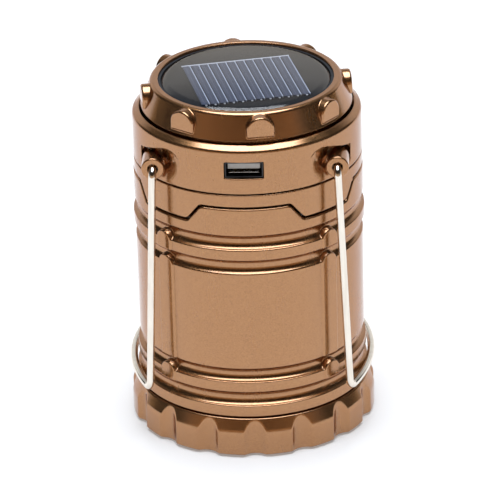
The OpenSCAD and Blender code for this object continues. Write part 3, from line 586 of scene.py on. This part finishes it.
def head_field(x, y, z):
    """The head casing: band, bevelled lip, handle pockets and bosses, posts, shelves and openings."""
    rho = np.hypot(x, y)
    f = smooth_max(rho - HEAD_R, cone_field(rho, z, LIP_START, LIP_SLOPE), 0.6)
    f = smooth_max(f, z - LIP_Z, 0.3)
    f = smooth_max(f, HEAD_FOOT_Z - z, 0.35)
    f = smooth_max(f, HEAD_BORE - rho, 0.1)
    f = with_shelves(with_posts(with_blocks(f, x, y, z), x, y, z), x, y, z)
    board_shelf = box_field(x, y, z, (-11, 34, 103.6), (5, 38.2, 105.35), 0.1)
    f = smooth_min(f, board_shelf, 0.2)
    return with_sockets(with_pockets(f, x, y, z), x, y, z)


def with_lugs(f, x, y, z):
    """Adds the arched lugs of the cap."""
    for i in range(LUGS):
        xl, yl = turned(x, y, LUG_TURN + 360 / LUGS * i)
        arch = smooth_max(np.hypot(xl, np.maximum(z - LUG_ARCH_Z, 0)) - LUG_R, LUG_LOW_Z - z, 0.7)
        lug = np.maximum(smooth_max(arch, -yl - LUG_FACE, 0.8), LUG_BACK + yl)
        f = smooth_min(f, lug, 0.25)
    return f


def cap_field(x, y, z):
    """The solar cap: cone with a flat rim, panel ledge and eight lugs."""
    rho = np.hypot(x, y)
    f = smooth_max(cone_field(rho, z, CAP_CONE, CAP_SLOPE), z - CAP_TOP_Z, 0.9)
    f = smooth_max(f, CAP_LEDGE_Z - z, 0.2)
    f = with_lugs(f, x, y, z)
    f = smooth_min(f, np.maximum(rho - CAP_FOOT_R, z - CAP_FOOT_Z[1]), 0.2)
    f = smooth_max(f, CAP_FOOT_Z[0] - z, 0.2)
    window = np.maximum(rho - 30.9, 125.0 - z)
    f = smooth_max(f, -window, 0.3)
    hole = np.maximum(rho - 27.5, between(z, 123.0, 126))
    f = smooth_max(f, -hole, 0.15)
    low, high = CAP_HOLLOW_Z
    narrowed = np.where(z > low, CAP_HOLLOW_R - (z - low) * 1.3 / (high - low), CAP_HOLLOW_R)
    f = np.maximum(f, -np.maximum(rho - narrowed, z - high))
    battery = np.maximum(np.hypot(y - 4, z - 108.6) - 9.55, np.abs(x) - 33)
    f = np.maximum(f, -battery)
    for angle in SHELF_ANGLES:
        xl, yl = turned(x, y, angle)
        f = np.maximum(f, -np.maximum(np.hypot(xl, yl + SCREW_AT) - SCREW_R, z - CAP_SCREW_TOP))
    return f


# ---------------- handles and lens
def handle_path():
    """The middle line of the right handle, from one hidden end to the other, about its pivot."""
    leg, bend, corner, reach, bulge, end = 31.5, 2.8, 3.2, 84.6, 7.4, 21.3
    half = 2 * math.atan(bulge / (leg + corner))
    spindle = [(0, y, 0) for y in np.linspace(end, leg - bend, 6)]
    turn = np.linspace(0, math.pi / 2, 15)[1:]
    top = [(0, leg - bend + bend * math.sin(t), -bend + bend * math.cos(t)) for t in turn]
    low_z = corner - reach
    down = [(0, leg, z) for z in np.linspace(-bend, low_z, 24)[1:]]
    into = (math.sin(half), -math.cos(half))
    foot = []
    for t in turn:
        out = corner * (1 - math.cos(t))
        foot.append((into[0] * out, leg + into[1] * out, low_z - corner * math.sin(t)))
    radius = foot[-1][1] / math.sin(half)
    middle_x = foot[-1][0] - radius * math.cos(half)
    grip = [(middle_x + radius * math.cos(a), radius * math.sin(a), -reach)
            for a in np.linspace(half, 0, 40)[1:]]
    side = np.array(spindle + top + down + foot + grip)
    other = side[:-1][::-1] * np.array([1, -1, 1])
    return np.vstack([side, other])


def swept(path, radius, sides, rounding=0.35):
    """The points of a round wire along a path, with rounded ends, row by row."""
    tangent = np.gradient(path, axis=0)
    tangent /= np.linalg.norm(tangent, axis=1, keepdims=True)
    normal = np.cross(tangent[0], (1, 0, 0))
    turn = np.arange(sides) * 2 * math.pi / sides
    frames = []
    for along in tangent:
        normal = normal - along * (normal @ along)
        normal = normal / np.linalg.norm(normal)
        frames.append((normal, np.cross(along, normal)))

    def circle(centre, axes, size):
        return centre + size * (np.cos(turn)[:, None] * axes[0] + np.sin(turn)[:, None] * axes[1])

    def tip(end, inward, axes):
        rings = []
        for t in np.linspace(0, math.pi / 2, 5):
            centre = end + inward * rounding * (1 - math.cos(t))
            rings.append(circle(centre, axes, radius - rounding * (1 - math.sin(t))))
        return rings

    rings = tip(path[0], tangent[0], frames[0])
    rings += [circle(centre, axes, radius) for centre, axes in zip(path[1:-1], frames[1:-1])]
    rings += tip(path[-1], -tangent[-1], frames[-1])[::-1]
    return np.concatenate(rings)


def handle(name, side):
    """A wire handle hanging at rest; side is -1 for the left one and 1 for the right."""
    sides = 24
    points = swept(handle_path(), WIRE_R, sides)
    lean = math.radians(WIRE_LEAN)
    x = points[:, 0] * math.cos(lean) + points[:, 2] * math.sin(lean)
    z = -points[:, 0] * math.sin(lean) + points[:, 2] * math.cos(lean)
    points = np.stack([side * (x + PIVOT[0]), points[:, 1], z + PIVOT[1]], 1)
    return capped_mesh(name, points, sides)


def lens():
    """The clear lens over the panel: a shallow dome with a rounded shoulder."""
    edge, low, top, ball, shoulder, start = 29.8, 127.05, 130.3, 223.0, 4.5, 27.2
    tilt = math.asin(start / ball)
    across, up = start - shoulder * math.sin(tilt), top - ball + (ball - shoulder) * math.cos(tilt)
    steepest = math.asin((edge - 0.15 - across) / shoulder)
    rings = [(r, low) for r in np.linspace(0.6, edge - 0.1, 20)]
    rings += [(edge, low + 0.1), (edge, up + shoulder * math.cos(steepest) - 0.15)]
    rings += [(across + shoulder * math.sin(a), up + shoulder * math.cos(a))
              for a in np.linspace(steepest, tilt, 18)]
    rings += [(ball * math.sin(a), top - ball + ball * math.cos(a))
              for a in np.linspace(tilt, 0.003, 44)[1:]]
    rings = np.array(rings)
    sides = 192
    angles = np.arange(sides) * 2 * math.pi / sides
    points = ring_points(rings[:, :1], rings[:, 1:], angles[None, :])
    return capped_mesh("panel_lens", points, sides)


def spring_leaf():
    """The bright spring leaf on the floor of the output socket."""
    mouth_y, length, low_z, rise, half, width = -38.4, 8.4, 107.6, 1.15, 0.16, 5.2
    along = np.linspace(0, 1, 14)
    y, z = mouth_y + length * along, low_z + rise * np.cos(along * math.pi / 2) ** 1.5
    upper = np.stack([y, z + half], 1)
    lower = np.stack([y, z - half], 1)
    nose = [(mouth_y - half * math.sin(a), low_z + rise + half * math.cos(a))
            for a in np.linspace(0.3, math.pi - 0.3, 7)]
    section = np.vstack([upper[::-1], nose, lower])
    middle = section.mean(0)
    stations = np.array([-width, 0.05 - width, 0.2 - width, 0, width - 0.2, width - 0.05, width])
    thin = np.array([0.55, 0.85, 1, 1, 1, 0.85, 0.55])
    points = [(x, *(middle + (p - middle) * (1, k))) for x, k in zip(stations, thin) for p in section]
    return capped_mesh("usb_spring", np.array(points), len(section))


# ---------------- materials
def nodes_of(name):
    """A new material, its node tree, its Principled shader and its object coordinates."""
    material = bpy.data.materials.new(name)
    material.use_nodes = True
    tree = material.node_tree
    shader = tree.nodes["Principled BSDF"]
    coords = tree.nodes.new("ShaderNodeTexCoord")
    return material, tree, shader, coords.outputs["Object"]


def noise(tree, vector, scale, detail=2.0, roughness=0.5, stretch=None):
    """Noise of the given scale per metre, stretched along some axes if asked."""
    if stretch:
        mapping = tree.nodes.new("ShaderNodeMapping")
        mapping.inputs["Scale"].default_value = stretch
        tree.links.new(vector, mapping.inputs["Vector"])
        vector = mapping.outputs["Vector"]
    texture = tree.nodes.new("ShaderNodeTexNoise")
    texture.inputs["Scale"].default_value = scale
    texture.inputs["Detail"].default_value = detail
    texture.inputs["Roughness"].default_value = roughness
    tree.links.new(vector, texture.inputs["Vector"])
    return texture.outputs["Fac"]


def ramp(tree, value, stops):
    """A colour ramp from (position, colour) stops."""
    node = tree.nodes.new("ShaderNodeValToRGB")
    tree.links.new(value, node.inputs["Fac"])
    elements = node.color_ramp.elements
    while len(elements) < len(stops):
        elements.new(0.5)
    for element, (place, colour) in zip(elements, stops):
        element.position = place
        element.color = (*colour, 1)
    return node.outputs["Color"]


def spread(tree, value, low, high, from_low=0.3, from_high=0.7):
    """The value remapped to a range."""
    node = tree.nodes.new("ShaderNodeMapRange")
    node.inputs["From Min"].default_value = from_low
    node.inputs["From Max"].default_value = from_high
    node.inputs["To Min"].default_value = low
    node.inputs["To Max"].default_value = high
    tree.links.new(value, node.inputs["Value"])
    return node.outputs["Result"]


def bump(tree, shader, height, distance, strength=1.0, after=None):
    """Fine relief on the shader, on top of an earlier relief if one is given."""
    node = tree.nodes.new("ShaderNodeBump")
    node.inputs["Strength"].default_value = strength
    node.inputs["Distance"].default_value = distance
    tree.links.new(height, node.inputs["Height"])
    if after is not None:
        tree.links.new(after, node.inputs["Normal"])
    tree.links.new(node.outputs["Normal"], shader.inputs["Normal"])
    return node.outputs["Normal"]


def shade(colour, factor):
    """The colour made lighter or darker."""
    return tuple(min(1.0, c * factor) for c in colour)


def finish_of(name, colour, rough, metal, vary=0.12, rough_vary=0.06, depth=0.01, **sockets):
    """A general finish: colour, roughness and a fine relief, all varied by noise."""
    grain = 1400.0
    material, tree, shader, coords = nodes_of(name)
    fine = noise(tree, coords, grain, 3.0)
    broad = noise(tree, coords, grain / 14, 2.0)
    mixed = ramp(tree, broad, [(0.3, shade(colour, 1 - vary)), (0.7, shade(colour, 1 + vary))])
    shader.inputs["Base Color"].default_value = (*colour, 1)
    tree.links.new(mixed, shader.inputs["Base Color"])
    shader.inputs["Roughness"].default_value = rough
    tree.links.new(spread(tree, fine, rough - rough_vary, rough + rough_vary), shader.inputs["Roughness"])
    shader.inputs["Metallic"].default_value = metal
    for socket, value in sockets.items():
        shader.inputs[socket.replace("_", " ")].default_value = value
    bump(tree, shader, fine, depth * MM)
    return material


def bronze_paint():
    """Metallic bronze paint: dense fine flakes over a slightly uneven coat."""
    material, tree, shader, coords = nodes_of("bronze_paint")
    flakes = noise(tree, coords, 2600, 2.0, 0.6)
    streaks = noise(tree, coords, 120, 3.0, 0.6, stretch=(1.0, 1.0, 0.3))
    colour = ramp(tree, flakes, [
        (0.30, (0.31, 0.142, 0.052)), (0.5, (0.375, 0.178, 0.068)), (0.70, (0.44, 0.216, 0.086))])
    shader.inputs["Base Color"].default_value = (0.375, 0.178, 0.068, 1)
    shader.inputs["Specular Tint"].default_value = (0.55, 0.34, 0.22, 1)
    shader.inputs["Coat Weight"].default_value = 1.0
    shader.inputs["Coat Roughness"].default_value = 0.12
    tree.links.new(colour, shader.inputs["Base Color"])
    shader.inputs["Metallic"].default_value = 0.96
    shader.inputs["Roughness"].default_value = 0.24
    tree.links.new(spread(tree, streaks, 0.20, 0.29), shader.inputs["Roughness"])
    coarse = bump(tree, shader, noise(tree, coords, 260, 2.0), 0.012 * MM, 0.5)
    bump(tree, shader, flakes, 0.004 * MM, 0.35, after=coarse)
    return material


def chrome():
    """Bright plated wire with faint draw marks."""
    material, tree, shader, coords = nodes_of("handle_chrome")
    marks = noise(tree, coords, 900, 2.0, 0.5, stretch=(1.0, 1.0, 0.12))
    colour = ramp(tree, marks, [(0.3, (0.73, 0.665, 0.58)), (0.7, (0.83, 0.77, 0.68))])
    shader.inputs["Base Color"].default_value = (0.78, 0.72, 0.63, 1)
    tree.links.new(colour, shader.inputs["Base Color"])
    shader.inputs["Metallic"].default_value = 1.0
    shader.inputs["Roughness"].default_value = 0.12
    tree.links.new(spread(tree, marks, 0.08, 0.17), shader.inputs["Roughness"])
    bump(tree, shader, marks, 0.003 * MM, 0.4)
    return material


def clear_lens(name, tint, mirror):
    """Clear plastic that lets the light through and reflects at its surface."""
    material, tree, shader, coords = nodes_of(name)
    output = tree.nodes["Material Output"]
    fine = noise(tree, coords, 2200, 2.0)
    clear = tree.nodes.new("ShaderNodeBsdfTransparent")
    clear.inputs["Color"].default_value = (*tint, 1)
    tones = [(0.3, shade(tint, 0.97)), (0.7, shade(tint, 1.02))]
    tree.links.new(ramp(tree, fine, tones), clear.inputs["Color"])
    gloss = tree.nodes.new("ShaderNodeBsdfGlossy")
    gloss.inputs["Color"].default_value = (*mirror, 1)
    gloss.inputs["Roughness"].default_value = 0.05
    tree.links.new(spread(tree, fine, 0.045, 0.055), gloss.inputs["Roughness"])
    fresnel = tree.nodes.new("ShaderNodeFresnel")
    fresnel.inputs["IOR"].default_value = 1.54
    inside = tree.nodes.new("ShaderNodeNewGeometry").outputs["Backfacing"]
    share = spread(tree, inside, 1.0, 0.0, 0.0, 1.0)
    product = tree.nodes.new("ShaderNodeMath")
    product.operation = "MULTIPLY"
    tree.links.new(fresnel.outputs["Fac"], product.inputs[0])
    tree.links.new(share, product.inputs[1])
    mix = tree.nodes.new("ShaderNodeMixShader")
    tree.links.new(product.outputs[0], mix.inputs["Fac"])
    tree.links.new(clear.outputs["BSDF"], mix.inputs[1])
    tree.links.new(gloss.outputs["BSDF"], mix.inputs[2])
    tree.links.new(mix.outputs["Shader"], output.inputs["Surface"])
    # The material's first shader is no longer linked, and keeps plain values.
    shader.inputs["Base Color"].default_value = (*tint, 1)
    shader.inputs["Alpha"].default_value = 0.25
    return material


def silicon():
    """Blue-grey silicon strips with their silver lines."""
    material, tree, shader, coords = nodes_of("silicon_cell")
    strips, cell_width, cell_turn = 12, 0.039, -13.7
    mapping = tree.nodes.new("ShaderNodeMapping")
    mapping.inputs["Rotation"].default_value = (0, 0, math.radians(cell_turn))
    mapping.inputs["Location"].default_value = (cell_width / 2, 0, 0)
    tree.links.new(coords, mapping.inputs["Vector"])
    split = tree.nodes.new("ShaderNodeSeparateXYZ")
    tree.links.new(mapping.outputs["Vector"], split.inputs["Vector"])
    strip = tree.nodes.new("ShaderNodeMath")
    strip.operation = "MULTIPLY"
    strip.inputs[1].default_value = strips / cell_width
    tree.links.new(split.outputs["X"], strip.inputs[0])
    part = tree.nodes.new("ShaderNodeMath")
    part.operation = "FRACT"
    tree.links.new(strip.outputs[0], part.inputs[0])
    blue, dark, silver = (0.030, 0.046, 0.088), (0.015, 0.022, 0.045), (0.52, 0.57, 0.66)
    colour = ramp(tree, part.outputs[0], [
        (0.0, dark), (0.10, blue), (0.36, (0.045, 0.064, 0.115)), (0.40, (0.12, 0.15, 0.22)),
        (0.43, (0.035, 0.052, 0.10)), (0.80, blue), (0.86, silver), (0.92, silver), (0.96, dark)])
    crystals = tree.nodes.new("ShaderNodeTexVoronoi")
    crystals.inputs["Scale"].default_value = 420
    tree.links.new(coords, crystals.inputs["Vector"])
    tone = ramp(tree, crystals.outputs["Distance"], [(0.0, (0.8, 0.8, 0.82)), (0.8, (1.0, 1.0, 1.0))])
    mix = tree.nodes.new("ShaderNodeMix")
    mix.data_type = "RGBA"
    mix.blend_type = "MULTIPLY"
    mix.inputs["Factor"].default_value = 0.8
    tree.links.new(colour, mix.inputs["A"])
    tree.links.new(tone, mix.inputs["B"])
    tree.links.new(mix.outputs["Result"], shader.inputs["Base Color"])
    shader.inputs["Base Color"].default_value = (*blue, 1)
    shader.inputs["Roughness"].default_value = 0.35
    shader.inputs["Metallic"].default_value = 0.3
    fine = noise(tree, coords, 1800, 2.0)
    tree.links.new(spread(tree, fine, 0.28, 0.42), shader.inputs["Roughness"])
    bump(tree, shader, fine, 0.01 * MM)
    return material


MATERIALS = {
    "bronze_paint": bronze_paint(),
    "handle_chrome": chrome(),
    "silicon_cell": silicon(),
    "clear_dome": clear_lens("clear_dome", (0.93, 0.94, 0.96), (0.78, 0.73, 0.66)),
    "clear_tube": clear_lens("clear_tube", (0.95, 0.965, 0.97), (0.9, 0.9, 0.9)),
}
# Plain finishes: colour, roughness, how metallic, and what differs from the usual finish.
FINISHES = {
    "black_plastic": ((0.022, 0.022, 0.024), 0.5, 0.0, {}),
    "pad_rubber": ((0.025, 0.025, 0.026), 0.75, 0.0, {"depth": 0.03}),
    "seal_rubber": ((0.006, 0.006, 0.007), 0.7, 0.0, {"depth": 0.02}),
    "screw_steel": ((0.52, 0.52, 0.53), 0.32, 1.0, {}),
    "magnet_metal": ((0.46, 0.46, 0.47), 0.28, 1.0, {}),
    "white_plastic": ((0.76, 0.75, 0.71), 0.42, 0.0, {}),
    "reflector_chrome": ((0.86, 0.87, 0.88), 0.12, 1.0, {"vary": 0.03, "rough_vary": 0.03}),
    "strip_board": ((0.78, 0.80, 0.80), 0.35, 0.0, {"vary": 0.04}),
    "led_phosphor": ((0.88, 0.70, 0.12), 0.5, 0.0, {}),
    "battery_wrap": ((0.04, 0.24, 0.16), 0.3, 0.0, {"vary": 0.08}),
    "contact_nickel": ((0.60, 0.59, 0.56), 0.25, 1.0, {}),
    "board_green": ((0.012, 0.085, 0.04), 0.35, 0.0, {"vary": 0.25}),
    "chip_black": ((0.018, 0.018, 0.019), 0.45, 0.0, {}),
    # Painted shade: the socket shells are coloured near black to stand in for the shadow inside their
    # recessed mouths.
    "socket_steel": ((0.045, 0.045, 0.048), 0.35, 0.9, {}),
    "tongue_plastic": ((0.42, 0.41, 0.39), 0.45, 0.0, {}),
    "contact_gold": ((0.80, 0.58, 0.24), 0.25, 1.0, {}),
    "red_lens": ((0.55, 0.02, 0.015), 0.2, 0.0, {}),
    "reed_glass": ((0.35, 0.48, 0.42), 0.1, 0.0, {}),
    "lead_red": ((0.42, 0.02, 0.015), 0.45, 0.0, {}),
    "lead_black": ((0.02, 0.02, 0.02), 0.45, 0.0, {}),
    "lead_white": ((0.70, 0.70, 0.68), 0.45, 0.0, {}),
    "panel_black": ((0.010, 0.010, 0.011), 0.55, 0.0, {"vary": 0.3, "Specular_IOR_Level": 0.15}),
    "busbar_silver": ((0.80, 0.80, 0.82), 0.35, 0.4, {}),
}
for name, (colour, rough, metal, extra) in FINISHES.items():
    MATERIALS[name] = finish_of(name, colour, rough, metal, **extra)


def dress(piece, slot):
    """Gives the piece the material of a slot."""
    piece.data.materials.clear()
    piece.data.materials.append(MATERIALS[slot])


def own(piece, node, body, slot):
    """Lets the piece stand in for a CAD node of a body."""
    dress(piece, slot)
    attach(piece, body)
    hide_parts(node)


own(sleeve(), "body_sleeve", "body", "bronze_paint")
ring = surface("ring_cast", ring_field, 720, (29.2, 44.9), (0.0, 15.2), 0.33)
own(ring, "base_ring", "body", "bronze_paint")
own(skirt(), "head_skirt", "head", "bronze_paint")
casing = surface("head_cast", head_field, 620, (27.7, 48.4), (97.9, 119.6), 0.36)
own(casing, "head_shell", "head", "bronze_paint")
cap = surface("cap_cast", cap_field, 720, (26.4, 39.4), (114.9, 129.3), 0.33)
own(cap, "solar_cap", "head", "bronze_paint")
own(lens(), "panel_dome", "head", "clear_dome")
own(handle("wire_left", -1), "handle_left", "left_handle", "handle_chrome")
own(handle("wire_right", 1), "handle_right", "right_handle", "handle_chrome")
leaf = spring_leaf()
dress(leaf, "contact_nickel")
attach(leaf, "head")

NODE_SLOTS = {
    "base_plate": "black_plastic", "base_pads": "pad_rubber", "base_screws": "screw_steel",
    "stop_ring": "black_plastic", "switch_magnet": "magnet_metal", "deck_plate": "white_plastic",
    "deck_screws": "screw_steel", "lamp_tube": "clear_tube", "lamp_foot": "white_plastic",
    "friction_ring": "seal_rubber", "top_reflector": "reflector_chrome", "led_post": "white_plastic",
    "led_strips": "strip_board", "led_chips": "led_phosphor", "bottom_reflector": "reflector_chrome",
    "battery_cradle": "black_plastic", "battery_cell": "battery_wrap", "battery_contacts": "contact_nickel",
    "main_board": "board_green", "board_screws": "screw_steel", "board_parts": "chip_black",
    "usb_shell": "socket_steel", "usb_tongue": "tongue_plastic", "usb_contacts": "contact_gold",
    "charge_inlet": "socket_steel", "charge_board": "board_green", "charge_tongue": "chip_black",
    "charge_lamp": "red_lens", "reed_switch": "reed_glass", "battery_leads": "lead_red",
    "solar_leads": "lead_black", "charge_leads": "lead_white", "lamp_leads": "lead_white",
    "cap_screws": "screw_steel", "panel_gasket": "seal_rubber", "panel_board": "panel_black",
    "solar_cells": "silicon_cell", "cell_busbars": "busbar_silver",
}
for node, slot in NODE_SLOTS.items():
    dress(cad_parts[node], slot)

# ---------------- floor, light and camera
def paper_floor():
    """A wide sheet of pale paper."""
    half = 4
    mesh = bpy.data.meshes.new("floor")
    corners = [(-half, -half, 0), (half, -half, 0), (half, half, 0), (-half, half, 0)]
    mesh.from_pydata(corners, [], [(0, 1, 2, 3)])
    sheet = bpy.data.objects.new("floor", mesh)
    bpy.context.scene.collection.objects.link(sheet)
    material, tree, shader, coords = nodes_of("floor_paper")
    tones = [(0.3, (0.73, 0.69, 0.635)), (0.7, (0.75, 0.71, 0.655))]
    tree.links.new(ramp(tree, noise(tree, coords, 40, 2.0), tones), shader.inputs["Base Color"])
    shader.inputs["Roughness"].default_value = 0.9
    shader.inputs["Specular IOR Level"].default_value = 0.1
    shader.inputs["Emission Color"].default_value = (1, 1, 1, 1)
    shader.inputs["Emission Strength"].default_value = 0.25
    mesh.materials.append(material)
    return sheet


def math_node(tree, operation, a, b=None, clamp=False):
    """The result of a Math node on values or sockets."""
    node = tree.nodes.new("ShaderNodeMath")
    node.operation = operation
    node.use_clamp = clamp
    for socket, value in zip(node.inputs, (a, b)):
        if value is None:
            continue
        if isinstance(value, (int, float)):
            socket.default_value = value
        else:
            tree.links.new(value, socket)
    return node.outputs[0]


def level_ramp(tree, value, stops, highest=10.0):
    """Brightness against a value; stops are (position, level), with no level above the highest."""
    colours = [(place, (level / highest,) * 3) for place, level in stops]
    return math_node(tree, "MULTIPLY", ramp(tree, value, colours), highest)


def steer(tree, value, low, high):
    """Rises smoothly from 0 where the value is low to 1 where it is high."""
    node = tree.nodes.new("ShaderNodeMapRange")
    node.interpolation_type = "SMOOTHSTEP"
    node.inputs["From Min"].default_value = low
    node.inputs["From Max"].default_value = high
    tree.links.new(value, node.inputs["Value"])
    return node.outputs["Result"]


def blend(tree, share, first, second):
    """The first value where the share is 0 and the second where it is 1."""
    node = tree.nodes.new("ShaderNodeMix")
    tree.links.new(share, node.inputs[0])
    tree.links.new(first, node.inputs[2])
    tree.links.new(second, node.inputs[3])
    return node.outputs[0]


def studio_light(tree, up, facing):
    """Brightness of the studio by height (0 level, 1 overhead) and by its share of +Y."""
    roof = [(0.74, 7.0), (1.0, 7.0)]
    front = level_ramp(tree, up, [(0.0, 0.55), (0.19, 0.5), (0.25, 0.03), (0.69, 0.04)] + roof)
    flanks = level_ramp(tree, up, [(0.0, 0.04), (0.69, 0.04)] + roof)
    behind = level_ramp(tree, up, [
        (0.0, 0.9), (0.28, 0.85), (0.37, 0.45), (0.44, 0.22), (0.56, 0.1), (0.69, 0.1)] + roof)
    from_front = steer(tree, facing, -0.643, -0.259)
    light = blend(tree, steer(tree, facing, 0.574, 0.766), blend(tree, from_front, front, flanks), behind)
    return light, from_front


def studio_tint(tree, up, from_front):
    """Cool light from overhead, and warm light from low in front."""
    warm, plain, cool = (1.0, 0.68, 0.42), (1.0, 1.0, 1.0), (0.90, 1.0, 1.16)
    tint = tree.nodes.new("ShaderNodeMix")
    tint.data_type = "RGBA"
    tree.links.new(from_front, tint.inputs["Factor"])
    for socket, low in (("A", warm), ("B", plain)):
        tones = [(0.0, low), (0.5, low), (0.69, cool), (1.0, cool)]
        tree.links.new(ramp(tree, up, tones), tint.inputs[socket])
    return tint.outputs["Result"]


def studio_world():
    """A soft studio round the object, over a plain bright background."""
    world = bpy.data.worlds.new("studio")
    bpy.context.scene.world = world
    world.use_nodes = True
    tree = world.node_tree
    background = tree.nodes["Background"]
    split = tree.nodes.new("ShaderNodeSeparateXYZ")
    tree.links.new(tree.nodes.new("ShaderNodeTexCoord").outputs["Generated"], split.inputs["Vector"])
    height = math_node(tree, "ARCSINE", split.outputs["Z"])
    up = math_node(tree, "MULTIPLY", height, 2 / math.pi, clamp=True)
    squared = math_node(tree, "POWER", split.outputs["Z"], 2.0)
    level = math_node(tree, "SQRT", math_node(tree, "SUBTRACT", 1.0, squared, clamp=True))
    facing = math_node(tree, "DIVIDE", split.outputs["Y"], math_node(tree, "MAXIMUM", level, 0.02))
    light, from_front = studio_light(tree, up, facing)
    strength = tree.nodes.new("ShaderNodeMix")
    tree.links.new(tree.nodes.new("ShaderNodeLightPath").outputs["Is Camera Ray"], strength.inputs[0])
    tree.links.new(light, strength.inputs[2])
    strength.inputs[3].default_value = 1.3
    tree.links.new(strength.outputs[0], background.inputs["Strength"])
    tree.links.new(studio_tint(tree, up, from_front), background.inputs["Color"])


def front_camera():
    """The camera, looking at the front from a little above and slightly rolled."""
    target, distance, focal_length = Vector((-0.094, 0, 60.81)) * MM, 1.4142, 284.1
    azimuth, elevation, roll = (math.radians(angle) for angle in (2.2, 25.37, -1.48))
    across, depth = math.sin(azimuth), -math.cos(azimuth)
    back = Vector((across * math.cos(elevation), depth * math.cos(elevation), math.sin(elevation)))
    right = Vector((0, 0, 1)).cross(back).normalized()
    above = back.cross(right)
    tilted_right = right * math.cos(roll) + above * math.sin(roll)
    tilted_up = above * math.cos(roll) - right * math.sin(roll)
    data = bpy.data.cameras.new("camera")
    data.lens, data.sensor_width = focal_length, 36
    data.clip_start, data.clip_end = 0.05, 20
    camera = bpy.data.objects.new("camera", data)
    bpy.context.scene.collection.objects.link(camera)
    matrix = camera.matrix_world.copy()
    for k in range(3):
        matrix[k][0], matrix[k][1], matrix[k][2] = tilted_right[k], tilted_up[k], back[k]
        matrix[k][3] = target[k] + back[k] * distance
    camera.matrix_world = matrix
    return camera


floor = paper_floor()
studio_world()
bpy.context.scene.camera = front_camera()
bpy.context.scene.view_settings.view_transform = "Standard"
bpy.context.scene.view_settings.look = "None"
